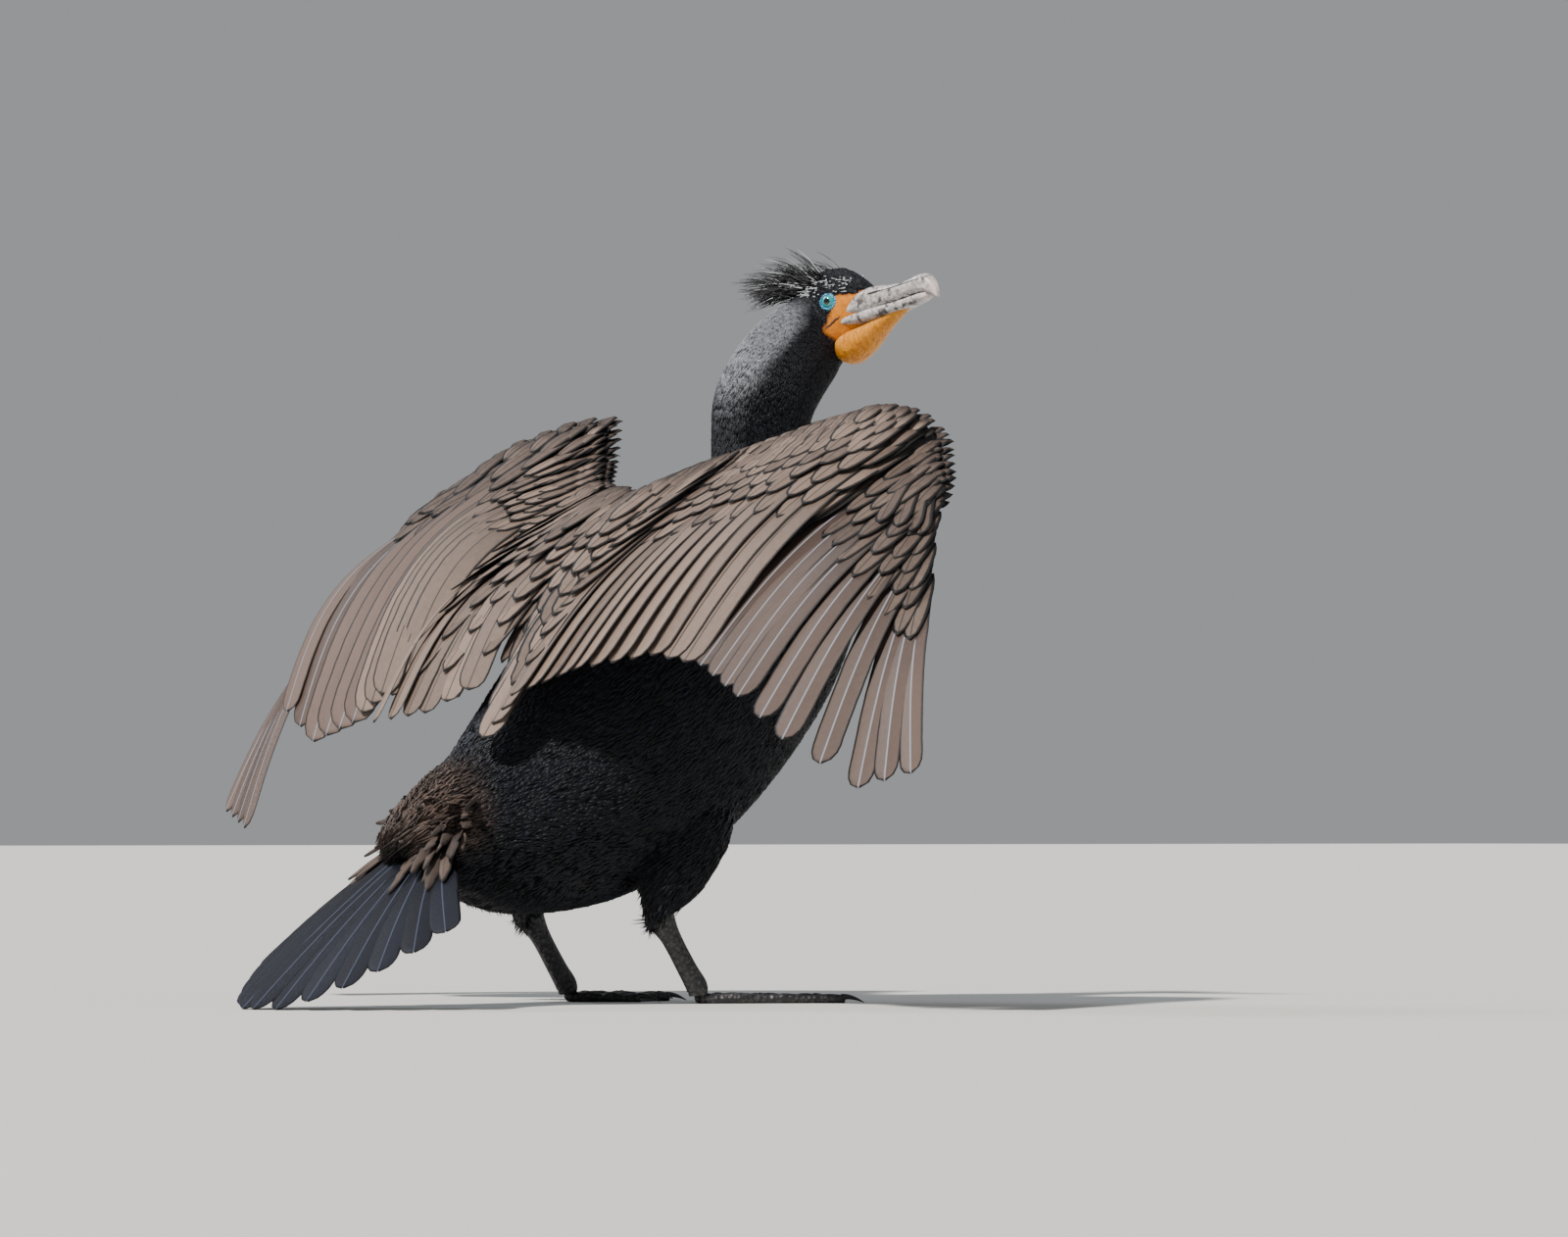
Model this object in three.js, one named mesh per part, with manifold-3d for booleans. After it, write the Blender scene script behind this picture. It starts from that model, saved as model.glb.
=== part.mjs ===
// A double-crested cormorant drying its wings, life size, in millimetres.
// The bird looks along +X, its left is +Y and up is +Z while it is built.
// The whole group is centred on the floor at the end.
import * as THREE from "three";
import { mergeVertices } from "three/addons/utils/BufferGeometryUtils.js";
import Module from "manifold-3d";

const wasm = await Module();
wasm.setup();

const GAP = 0.35; // clear space left between neighbouring nodes
const VANE = 0.9; // thickness of a vane
const vec = (p) => new THREE.Vector3(p[0], p[1], p[2]);
const mix = (a, b, t) => a.clone().lerp(b, t);

// Seeded random numbers between -1 and 1.
let seed = 20431;
function random() {
  seed = (seed * 16807) % 2147483647;
  return (2 * seed) / 2147483647 - 1;
}

// A manifold solid from points and triangles, turned outward if its volume is negative.
function solidOf(points, triangles) {
  const geometry = new THREE.BufferGeometry();
  geometry.setAttribute(
    "position",
    new THREE.Float32BufferAttribute(points.flatMap((p) => [p.x, p.y, p.z]), 3),
  );
  geometry.setIndex(triangles);
  const merged = mergeVertices(geometry, 1e-3);
  const index = [...merged.index.array];
  const position = merged.attributes.position;
  let volume = 0;
  for (let i = 0; i < index.length; i += 3) {
    const corner = (k) => new THREE.Vector3().fromBufferAttribute(position, k);
    const [a, b, c] = index.slice(i, i + 3).map(corner);
    volume += a.dot(b.cross(c));
  }
  if (volume < 0) index.reverse();
  const mesh = new wasm.Mesh({
    numProp: 3,
    vertProperties: position.array,
    triVerts: new Uint32Array(index),
  });
  return new wasm.Manifold(mesh);
}

// A closed skin through rings of equal count, with a flat fan over each end.
function loft(rings) {
  const count = rings[0].length;
  const points = rings.flat();
  const triangles = [];
  for (let r = 0; r + 1 < rings.length; r++)
    for (let i = 0; i < count; i++) {
      const a = r * count + i;
      const b = r * count + ((i + 1) % count);
      triangles.push(a, b, b + count, a, b + count, a + count);
    }
  for (const [r, flip] of [
    [0, true],
    [rings.length - 1, false],
  ]) {
    const middle = new THREE.Vector3();
    rings[r].forEach((p) => middle.addScaledVector(p, 1 / count));
    points.push(middle);
    for (let i = 0; i < count; i++) {
      const a = r * count + i;
      const b = r * count + ((i + 1) % count);
      triangles.push(...(flip ? [b, a, points.length - 1] : [a, b, points.length - 1]));
    }
  }
  return solidOf(points, triangles);
}

// An ellipse of points round a centre, in the plane of two axes.
function ellipse(centre, across, up, wide, high, count) {
  const ring = [];
  for (let i = 0; i < count; i++) {
    const angle = (2 * Math.PI * i) / count;
    ring.push(
      centre
        .clone()
        .addScaledVector(across, wide * Math.cos(angle))
        .addScaledVector(up, high * Math.sin(angle)),
    );
  }
  return ring;
}

// A limb through stations [x, y, z, half width, half depth], each ring square to the path.
// The side vector says which way the width runs.
function limb(stations, side, count = 14) {
  const centres = stations.map(vec);
  return loft(
    stations.map((s, i) => {
      const along = centres[Math.min(i + 1, centres.length - 1)]
        .clone()
        .sub(centres[Math.max(i - 1, 0)])
        .normalize();
      const across = side.clone().addScaledVector(along, -side.dot(along)).normalize();
      const up = new THREE.Vector3().crossVectors(along, across);
      return ellipse(centres[i], across, up, s[3], s[4], count);
    }),
  );
}

// The same stations with the gap added to their last two sizes, for the room a neighbour leaves.
const grown = (stations) => stations.map((s) => [...s.slice(0, -2), s.at(-2) + GAP, s.at(-1) + GAP]);

// A thin vane from root to tip: rows of [share of length, share of width, share of thickness].
// Both broad faces use the same diagonals, so the vane keeps its thickness where it curves.
const LONG_ROWS = [
  [0, 0.45, 1.6],
  [0.4, 1, 1.1],
  [0.84, 0.88, 0.9],
  [1, 0.26, 0.7],
];
const SHORT_ROWS = [
  [0, 0.6, 1.4],
  [0.7, 1, 1],
  [1, 0.34, 0.7],
];
function vane(root, tip, normal, width, bow, tilt, rows) {
  const along = tip.clone().sub(root);
  const length = along.length();
  along.normalize();
  const up = normal.clone().addScaledVector(along, -normal.dot(along)).normalize();
  const side = new THREE.Vector3().crossVectors(along, up).normalize();
  const across = side.clone().multiplyScalar(Math.cos(tilt)).addScaledVector(up, Math.sin(tilt));
  const face = new THREE.Vector3().crossVectors(across, along).normalize();
  const points = [];
  const triangles = [];
  for (const [share, broad, thick] of rows) {
    const middle = root
      .clone()
      .addScaledVector(along, share * length)
      .addScaledVector(up, bow * Math.sin(Math.PI * share));
    const half = (broad * width) / 2;
    const lift = (thick * VANE) / 2;
    for (const [a, b] of [
      [-half, lift],
      [half, lift],
      [half, -lift],
      [-half, -lift],
    ])
      points.push(middle.clone().addScaledVector(across, a).addScaledVector(face, b));
  }
  for (let r = 0; r + 1 < rows.length; r++)
    for (let i = 0; i < 4; i++) {
      const a = 4 * r + i;
      const b = 4 * r + ((i + 1) % 4);
      if (i === 2) triangles.push(a, b, a + 4, b, b + 4, a + 4);
      else triangles.push(a, b, b + 4, a, b + 4, a + 4);
    }
  const last = 4 * (rows.length - 1);
  triangles.push(1, 0, 3, 1, 3, 2);
  triangles.push(last, last + 1, last + 3, last + 1, last + 2, last + 3);
  return solidOf(points, triangles);
}

// The largest closed surface of a solid.
function largest(solid) {
  const bodies = solid.decompose();
  return bodies.reduce((a, b) => (b.volume() > a.volume() ? b : a));
}

// One solid from many, with slivers smaller than the tolerance taken out.
const SLIVER = 0.02;
const join = (solids) => largest(wasm.Manifold.union(solids).simplify(SLIVER));

// A solid with its thin neighbour taken out, and a gap over and under the neighbour.
function clear(solid, neighbour) {
  let left = solid.subtract(neighbour);
  for (const reach of [GAP, -GAP])
    left = left.subtract(neighbour.translate([-0.6 * reach, 0, 0.8 * reach]));
  return largest(left);
}

// The side of a plane that its normal points to.
function side(solid, point, normal, inset = 0) {
  const n = normal.clone().normalize();
  return largest(solid.trimByPlane([n.x, n.y, n.z], n.dot(point) + inset));
}

const parts = new Map();

// Torso: rings along the sloping trunk, then the rump down to the root of the tail.
const FORWARD_LEFT = vec([0, 1, 0]);
const TORSO = [
  [66, 0, 300, 24, 22],
  [60, 0, 288, 42, 42],
  [38, 0, 262, 56, 62],
  [8, 0, 230, 66, 78],
  [-32, 0, 192, 71, 85],
  [-72, 0, 156, 70, 84],
  [-115, 0, 126, 64, 74],
  [-158, 0, 106, 50, 58],
  [-194, 0, 98, 37, 41],
  [-224, 0, 92, 25, 22],
  [-236, 0, 88, 14, 10],
];
const torsoWhole = limb(TORSO, FORWARD_LEFT, 20);
const torsoRoom = limb(grown(TORSO), FORWARD_LEFT, 20);

// Neck: a thick S that carries the head round to the bird's right.
const NECK = [
  [34, 0, 272, 34, 40],
  [36, 0, 300, 34, 38],
  [29, 0, 330, 30, 31],
  [32, 1, 350, 31, 30],
  [46, 2, 370, 30, 30],
  [62, 2, 385, 27, 28],
  [75, 2, 396, 22, 23],
];
const neckWhole = limb(NECK, FORWARD_LEFT, 18);
const NECK_TOP = vec([56, 2, 380]);
const NECK_LINE = vec([16, 0, 14]).normalize();

// Head frame: forward along the bill, up through the crown, and the bird's right cheek.
const PITCH = THREE.MathUtils.degToRad(11);
const EYE = vec([77, -20, 409]);
const BILL = vec([0.035 * Math.cos(PITCH), -Math.cos(PITCH), Math.sin(PITCH)]).normalize();
const CHEEK = new THREE.Vector3().crossVectors(BILL, vec([0, 0, 1])).normalize();
const CROWN = new THREE.Vector3().crossVectors(CHEEK, BILL).normalize();
const headPoint = (along, cheek, up) =>
  EYE.clone().addScaledVector(BILL, along).addScaledVector(CHEEK, cheek).addScaledVector(CROWN, up);

// Rings of the head as [along the bill, middle height, half width, half height].
function headLoft(stations, count) {
  return loft(stations.map((s) => ellipse(headPoint(s[0], 0, s[1]), CHEEK, CROWN, s[2], s[3], count)));
}
const SKULL = [
  [-47, -6, 7, 8],
  [-41, -5, 15, 18],
  [-28, -5, 20.5, 25.5],
  [-12, -4, 21.5, 27.5],
  [2, -3.5, 19.5, 25],
  [13, -4, 15.5, 20],
  [22, -5, 12, 14],
  [29, -6.5, 9.6, 9.8],
];
const skull = headLoft(SKULL, 18);

// Upper half of the bill: a saddle between its base and the nail, ending in a hook.
const BILL_UPPER = [
  [16, -5, 9, 8],
  [29, -3.6, 8.2, 7],
  [42, -4.6, 6.8, 5.4],
  [56, -4.8, 5.8, 4.6],
  [66, -4, 5.4, 5],
  [72, -5.4, 4.6, 5.6],
  [76, -8.6, 3.2, 4.8],
  [78, -12, 1.5, 2.6],
];
const BILL_LOWER = [
  [-14, -18, 10, 3.4],
  [10, -15.8, 10.6, 3.2],
  [29, -14.2, 8.4, 3.2],
  [48, -13, 6, 2.8],
  [64, -12.4, 4.6, 2.4],
  [71, -12, 3, 1.6],
];
const POUCH = [
  [-15, -22, 10, 8],
  [-7, -25, 12.5, 11],
  [4, -26, 12, 10.6],
  [16, -24, 10, 8.8],
  [30, -19.5, 7.2, 5.4],
  [44, -16, 4.6, 2.8],
  [52, -14.5, 2.6, 1.4],
];

// Crest: two swept tufts of narrow locks behind the eyes, and a low row over the crown.
const locks = [];
for (const cheek of [1, -1])
  for (let i = 0; i < 5; i++) {
    const share = i / 4;
    const root = headPoint(-14 - 20 * share, cheek * (10 + 5 * share), 15 - 2 * share);
    const reach = 30 + 14 * Math.sin(Math.PI * share) + 4 * random();
    const tip = headPoint(
      -14 - 20 * share - reach,
      cheek * (15 + 8 * share + 3 * random()),
      26 - 12 * share + 4 * random(),
    );
    locks.push(vane(root, tip, CROWN, 4.4, 2.5, 0.5 * random(), SHORT_ROWS));
  }

// Eyes: a ball on each side, sunk in its socket, with a ring of lid about it.
const EYE_RADIUS = 5.2;
const ball = (centre, radius) => {
  const rings = [-0.95, -0.6, 0, 0.6, 0.95].map((h) =>
    ellipse(
      centre.clone().addScaledVector(CHEEK, h * radius),
      BILL,
      CROWN,
      radius * Math.sqrt(1 - h * h),
      radius * Math.sqrt(1 - h * h),
      14,
    ),
  );
  return loft(rings);
};
const eyeCentre = (cheek) => headPoint(0, cheek * 14.2, 0);
const lidRing = (cheek) => {
  const rings = [
    [12, 8.6],
    [15.2, 8.2],
    [17.2, 7.2],
    [17.8, 5.2],
  ];
  return loft(rings.map(([out, r]) => ellipse(headPoint(0, cheek * out, 0), BILL, CROWN, r, r, 16)));
};
const eyeRoom = (cheek) => ball(eyeCentre(cheek), EYE_RADIUS + GAP);
parts.set("eye_right", ball(eyeCentre(1), EYE_RADIUS));
parts.set("eye_left", ball(eyeCentre(-1), EYE_RADIUS));

// The head takes the top of the neck, then gives way to the bill, the pouch and the eyes.
const neckCap = side(neckWhole, NECK_TOP, NECK_LINE, GAP / 2);
let head = join([skull, neckCap, lidRing(1), lidRing(-1), ...locks]);
const nostril = (cheek) =>
  loft(
    [
      [30, 3.6, 0.5],
      [33, 3.2, 0.7],
      [38, 2.6, 0.5],
    ].map(([along, out, r]) => ellipse(headPoint(along, cheek * (out + 3), -2.2), CHEEK, CROWN, 1.6, r, 8)),
  );
const upper = headLoft(BILL_UPPER, 12).subtract(nostril(1)).subtract(nostril(-1));
const upperRoom = headLoft(grown(BILL_UPPER), 12);
const lower = side(headLoft(BILL_LOWER, 12), headPoint(-12, 0, 0), BILL);
const lowerRoom = headLoft(grown(BILL_LOWER), 12);
const pouchRoom = headLoft(grown(POUCH), 14);
parts.set("bill_upper", side(largest(upper), headPoint(20, 0, 0), BILL));
parts.set("bill_lower", largest(lower.subtract(upperRoom)));
parts.set("gular_pouch", largest(headLoft(POUCH, 14).subtract(lowerRoom).subtract(upperRoom)));
for (const room of [upperRoom, lowerRoom, pouchRoom, eyeRoom(1), eyeRoom(-1)]) head = head.subtract(room);
parts.set("head", largest(head));

// Neck and torso, parted by a plane across the base of the neck.
const NECK_BASE = vec([36, 0, 306]);
const BASE_LINE = vec([0.1, 0, 1]).normalize();
const RUMP_END = vec([-222, 0, 92]);
const RUMP_LINE = vec([0.9, 0, 0.3]);
const neckFoot = side(neckWhole, NECK_BASE, BASE_LINE.clone().negate(), GAP / 2);
const torso = side(join([torsoWhole, neckFoot]), RUMP_END, RUMP_LINE, GAP / 2);
const neckPart = side(
  side(neckWhole, NECK_BASE, BASE_LINE, GAP / 2),
  NECK_TOP,
  NECK_LINE.clone().negate(),
  GAP / 2,
);
const headRoom = headLoft(grown(SKULL), 18);
parts.set("neck", largest(neckPart.subtract(headRoom).subtract(torsoRoom).subtract(pouchRoom)));

// Tail: twelve graduated vanes, fanned towards the bird's right, on a short stub.
const TAIL_ROOT = vec([-216, 0, 95]);
const TAIL_AXIS = vec([-0.81, 0, -0.586]).normalize();
const TAIL_UP = vec([-0.586, 0, 0.81]).normalize();
const TAIL_LENGTHS = [128, 140, 151, 160, 166, 168, 166, 160, 152, 142, 132, 120];
const TAIL_ANGLES = [6, 4, 2, 0, -3, -6, -11, -17, -24, -31, -39, -47];
const tailVanes = TAIL_ANGLES.map((angle, i) => {
  const turn = THREE.MathUtils.degToRad(angle);
  const root = TAIL_ROOT.clone()
    .add(vec([0, 9 - 1.7 * i, 0]))
    .addScaledVector(TAIL_UP, 3 - Math.abs(i - 4));
  const way = TAIL_AXIS.clone().multiplyScalar(Math.cos(turn)).add(vec([0, Math.sin(turn), 0]));
  const tip = root.clone().addScaledVector(way, TAIL_LENGTHS[i]);
  tip.z = Math.max(tip.z, -0.4);
  return vane(root, tip, TAIL_UP, 20, 3, 0.12, LONG_ROWS);
});
const stub = limb(
  [
    [-206, 0, 96, 22, 17],
    [-226, -2, 88, 20, 12],
    [-246, -6, 74, 16, 5],
    [-258, -9, 65, 10, 2],
  ],
  FORWARD_LEFT,
  12,
);
const tailCoverts = [];
for (const [row, reach, lift] of [
  [0, 52, 10],
  [1, 40, 15],
])
  for (let i = 0; i < 5; i++) {
    const turn = THREE.MathUtils.degToRad(12 - 13 * i + 3 * random());
    const root = TAIL_ROOT.clone()
      .add(vec([2 + 6 * row, 11 - 5.6 * i, 0]))
      .addScaledVector(TAIL_UP, 5 + 3 * row - 0.6 * Math.abs(i - 2));
    const way = TAIL_AXIS.clone().multiplyScalar(Math.cos(turn)).add(vec([0, Math.sin(turn), 0]));
    const tip = root.clone().addScaledVector(way, reach).addScaledVector(TAIL_UP, lift - 4 + 2 * random());
    tailCoverts.push(vane(root, tip, TAIL_UP, 15, 3, 0.2 * random(), SHORT_ROWS));
  }
const tailWhole = join([stub, ...tailVanes, ...tailCoverts]);
const tailOnFloor = side(tailWhole, vec([0, 0, 0]), vec([0, 0, 1]));
parts.set("tail", side(tailOnFloor, RUMP_END, RUMP_LINE.clone().negate(), GAP / 2));

// Legs: feathered thigh, bare shank and a foot with four webbed toes.
const feet = { right: { y: -45, x: -54 }, left: { y: 45, x: -78 } };
const TOES = [
  [-52, 42, 3.4],
  [-16, 62, 3.8],
  [9, 78, 3.8],
  [30, 84, 3.6],
];
const SOLE = 3.2;
const UPWARD = vec([0, 0, 1]);
const DOWNWARD = vec([0, 0, -1]);
const ANKLE = vec([0, 0, 10]);
const HOCK_TOP = vec([0, 0, 56]);
for (const [name, foot] of Object.entries(feet)) {
  const outward = Math.sign(foot.y);
  const hock = [foot.x - 30, foot.y, 54];
  const thigh = limb(
    [
      [hock[0] + 30, foot.y * 0.62, 136, 24, 40],
      [hock[0] + 22, foot.y * 0.8, 108, 22, 36],
      [hock[0] + 10, foot.y * 0.94, 80, 16, 26],
      [hock[0] + 1, foot.y, 62, 10.5, 13],
      [hock[0] - 1, foot.y, 52, 7.5, 9],
    ],
    FORWARD_LEFT,
    14,
  );
  const shank = limb(
    [
      [hock[0] - 2, foot.y, 57, 6, 8],
      [hock[0], foot.y, 50, 6.6, 9.2],
      [hock[0] + 8, foot.y, 38, 4.6, 6.4],
      [hock[0] + 20, foot.y, 20, 4.6, 6.2],
      [hock[0] + 28, foot.y, 9, 6, 7],
    ],
    FORWARD_LEFT,
    12,
  );
  const heel = vec([foot.x, foot.y, 4.6]);
  const tips = TOES.map(([angle, reach]) => {
    const turn = THREE.MathUtils.degToRad(outward * angle);
    return vec([foot.x + reach * Math.cos(turn), foot.y + reach * Math.sin(turn), SOLE]);
  });
  const toes = tips.map((tip, i) => {
    const thick = TOES[i][2];
    const rows = [0, 0.36, 0.7, 1].map((share, k) => {
      const knuckle = k % 2 ? 1 : 0.9;
      const p = mix(heel, tip, share);
      const half = thick * knuckle * (1 - 0.3 * share);
      return [p.x, p.y, Math.max(p.z - 0.4 * share, 2.6), half, 3.6 - 0.9 * share];
    });
    return limb(rows, vec([0, 0, 1]).cross(tip.clone().sub(heel)).normalize(), 6);
  });
  const claws = tips.map((tip) => {
    const way = tip.clone().sub(heel).setZ(0).normalize();
    const rows = [
      [-2, 3, 2],
      [4, 3.2, 1.6],
      [11, 0.9, 0.5],
    ].map(([out, high, r]) => {
      const p = tip.clone().addScaledVector(way, out);
      return [p.x, p.y, high, r, r];
    });
    return limb(rows, vec([0, 0, 1]).cross(way).normalize(), 6);
  });
  const outline = [[foot.x - 4, foot.y]];
  tips.forEach((tip, i) => {
    outline.push([tip.x, tip.y]);
    if (i + 1 < tips.length) {
      const between = mix(tip, tips[i + 1], 0.5);
      const inward = mix(between, heel, 0.1);
      outline.push([inward.x, inward.y]);
    }
  });
  const shape = new THREE.Shape(outline.map(([x, y]) => new THREE.Vector2(x, y)));
  const sheet = new THREE.ExtrudeGeometry(shape, { depth: 1.8, bevelEnabled: false });
  sheet.translate(0, 0, -0.1);
  sheet.deleteAttribute("normal");
  sheet.deleteAttribute("uv");
  const web = mergeVertices(sheet, 1e-3);
  const webPoints = [];
  for (let i = 0; i < web.attributes.position.count; i++)
    webPoints.push(new THREE.Vector3().fromBufferAttribute(web.attributes.position, i));
  const pad = limb(
    [
      [foot.x - 3, foot.y, -1, 8, 9],
      [foot.x - 2, foot.y, 6, 7.5, 8.5],
      [foot.x - 3, foot.y, 12, 6.2, 7.2],
    ],
    FORWARD_LEFT,
    12,
  );
  const whole = join([solidOf(webPoints, [...web.index.array]), pad, ...toes, ...claws]);
  parts.set("foot_" + name, side(side(whole, vec([0, 0, 0]), UPWARD), ANKLE, DOWNWARD, GAP / 2));
  parts.set("shank_" + name, side(side(shank, ANKLE, UPWARD, GAP / 2), HOCK_TOP, DOWNWARD, GAP / 2));
  parts.set("thigh_" + name, largest(side(thigh, HOCK_TOP, UPWARD, GAP / 2).subtract(torsoRoom)));
}

// The tips of the flight feathers, as [index, point] along the trailing edge.
// Indices count inward: ten primaries, eleven secondaries, then six tertials and scapulars.
const TIPS = {
  right: [
    [0, [-128, -315, 131]],
    [2, [-141, -286, 123]],
    [4, [-154, -237, 150]],
    [6, [-151, -195, 174]],
    [9, [-139, -148, 192]],
    [12, [-144, -110, 198]],
    [16, [-166, -66, 190]],
    [20, [-186, -36, 176]],
    [23, [-198, -26, 152]],
    [26, [-160, -17, 195]],
  ],
  left: [
    [0, [-128, 315, 111]],
    [3, [-144, 275, 101]],
    [4, [-145, 231, 170]],
    [6, [-151, 197, 152]],
    [9, [-149, 161, 163]],
    [12, [-147, 136, 179]],
    [20, [-130, 85, 177]],
    [21, [-184, 95, 162]],
    [24, [-182, 50, 167]],
    [26, [-172, 17, 188]],
  ],
};
// The leading edge of each wing, from the end of the hand over the wrist to the back.
const LEADS = {
  right: [
    [0, [-32, -201, 256]],
    [9, [18, -144, 325]],
    [12, [15, -118, 324]],
    [16, [9, -76, 320]],
    [20, [-18, -44, 306]],
    [26, [-58, -18, 291]],
  ],
  left: [
    [0, [-32, 201, 256]],
    [9, [18, 144, 325]],
    [12, [10, 130, 302]],
    [16, [-10, 108, 289]],
    [20, [-30, 70, 286]],
    [26, [-58, 18, 289]],
  ],
};
const PRIMARIES = 10;
const SECONDARIES = 21;
const FEATHERS = 27;
const DORSAL = vec([-0.6, 0, 0.8]);
const TERTIAL_REACH = 60; // how far the left tertials lie over the forearm

// The place on a piecewise straight line given as [index, point] pairs.
function alongLine(line, index) {
  const next = Math.max(1, line.findIndex(([at]) => at >= index));
  const [[a, p], [b, q]] = [line[next - 1], line[next]];
  return mix(vec(p), vec(q), (index - a) / (b - a));
}

// Everything about one wing that the vanes need: leads, tips and the outward normal by index.
function wingFrame(name) {
  const count = FEATHERS;
  const tips = Array.from({ length: count }, (_, i) => alongLine(TIPS[name], i));
  const leads = tips.map((_, i) => alongLine(LEADS[name], i));
  const normals = tips.map((_, i) => {
    const a = Math.max(i - 1, 0);
    const b = Math.min(i + 1, count - 1);
    const run = leads[b].clone().sub(leads[a]).add(tips[b]).sub(tips[a]);
    const n = tips[i].clone().sub(leads[i]).cross(run).normalize();
    return n.dot(DORSAL) < 0 ? n.negate() : n;
  });
  const at = (list, index) => {
    const i = Math.min(Math.max(Math.floor(index), 0), count - 2);
    return mix(list[i], list[i + 1], index - i);
  };
  return {
    lead: (index) => at(leads, index),
    tip: (index) => at(tips, index),
    normal: (index) => at(normals, index).normalize(),
  };
}

// A point on the wing: index along it, share of the way from the lead to the tip, and height.
function onWing(frame, index, share, height) {
  return mix(frame.lead(index), frame.tip(index), share).addScaledVector(frame.normal(index), height);
}

// The flesh of the wing between two indices: a rounded bar that thins out backward.
function arm(frame, from, to, steps) {
  const rings = [];
  for (let k = 0; k <= steps; k++) {
    const index = from + ((to - from) * k) / steps;
    const half = 4.5 + 4.5 * Math.min(1, Math.max(0, (index - 2) / 14));
    rings.push(
      [
        [-0.035, 0],
        [-0.01, 0.8],
        [0.06, 1],
        [0.18, 0.72],
        [0.3, 0.16],
        [0.3, -0.16],
        [0.14, -0.8],
        [0.02, -0.9],
      ].map(([share, height]) => onWing(frame, index, share, height * half)),
    );
  }
  return loft(rings);
}

// Rows of coverts as [first index, last index, how many, root share, tip share, height, width].
const HAND_COVERTS = [
  [0.8, 9.2, 6, 0.06, 0.4, 1.6, 20],
];
const ARM_COVERTS = [
  [10.7, 19.9, 7, 0.14, 0.47, 2.4, 20],
  [10.7, 19.8, 6, 0.05, 0.31, 5, 20],
  [10.9, 19.6, 5, -0.02, 0.17, 7, 21],
];
const BACK_COVERTS = [
  [21.6, 25.8, 3, 0.26, 0.72, 4.4, 23],
  [21.6, 25.8, 3, 0.1, 0.46, 6.4, 21],
  [21.6, 25.6, 3, -0.02, 0.24, 8, 21],
];

function coverts(frame, rows, tilt) {
  return rows.flatMap(([first, last, many, start, end, height, width]) =>
    Array.from({ length: many }, (_, k) => {
      const index = first + ((last - first) * k) / (many - 1);
      const root = onWing(frame, index, start, height - 2.4);
      const tip = onWing(frame, index, end + 0.012 * random(), height + 0.6);
      return vane(root, tip, frame.normal(index), width, 1.6, tilt, SHORT_ROWS);
    }),
  );
}

function flights(frame, from, to, widths, height, tilt, bow) {
  const list = [];
  for (let i = from; i < to; i++) {
    const share = (i - from) / Math.max(1, to - from - 1);
    const width = THREE.MathUtils.lerp(widths[0], widths[1], share);
    const root = onWing(frame, i, 0.1, height);
    list.push(vane(root, frame.tip(i), frame.normal(i), width, bow, tilt, LONG_ROWS));
  }
  return list;
}

// A plane through the wing at an index, for parting hand, forearm and upper arm.
function parting(frame, index) {
  const point = frame.lead(index);
  const chord = frame.tip(index).sub(point);
  const normal = chord.cross(frame.normal(index)).normalize();
  if (normal.dot(frame.lead(index + 0.5).sub(frame.lead(index - 0.5))) < 0) normal.negate();
  return { point, inward: normal, outward: normal.clone().negate() };
}

for (const name of ["right", "left"]) {
  const frame = wingFrame(name);
  const hand = name === "right" ? -1 : 1;
  const tilt = 0.13 * hand;
  const wrist = parting(frame, 9.5);
  const elbow = parting(frame, 20.5);
  const alula = [0, 1].map((k) => {
    const root = onWing(frame, 8.6 - 1.2 * k, 0.02, 2);
    const tip = onWing(frame, 5.4 - 1.4 * k, 0.24 - 0.06 * k, 7.5);
    return vane(root, tip, frame.normal(7), 14, 1.5, tilt, SHORT_ROWS);
  });
  const handWhole = join([
    arm(frame, 0, 10, 5),
    ...flights(frame, 0, PRIMARIES, [15, 22], 0, tilt, 5),
    ...coverts(frame, HAND_COVERTS, tilt),
    ...alula,
  ]);
  const armWhole = join([
    arm(frame, 9, 21, 6),
    ...flights(frame, PRIMARIES, SECONDARIES, [20, 15], 0, tilt * 1.8, 7),
    ...coverts(frame, ARM_COVERTS, tilt),
  ]);
  const backWhole = join([
    arm(frame, 20.7, 26, 3),
    ...flights(frame, SECONDARIES, FEATHERS, [22, 24], 3, tilt, 8),
    ...coverts(frame, BACK_COVERTS, tilt),
  ]);
  const belowWrist = side(armWhole, wrist.point, wrist.inward, GAP / 2);
  const armPart = side(belowWrist, elbow.point, elbow.outward, GAP / 2);
  const lobed = name === "left";
  const backReach = lobed ? -TERTIAL_REACH : GAP / 2;
  const backPart = side(backWhole, elbow.point, elbow.inward, backReach).subtract(torsoRoom);
  parts.set("wing_hand_" + name, side(handWhole, wrist.point, wrist.outward, GAP / 2));
  parts.set("wing_forearm_" + name, largest(armPart.subtract(torsoRoom)));
  parts.set("wing_shoulder_" + name, lobed ? clear(backPart, armPart) : largest(backPart));
}
parts.set("torso", torso);

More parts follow.
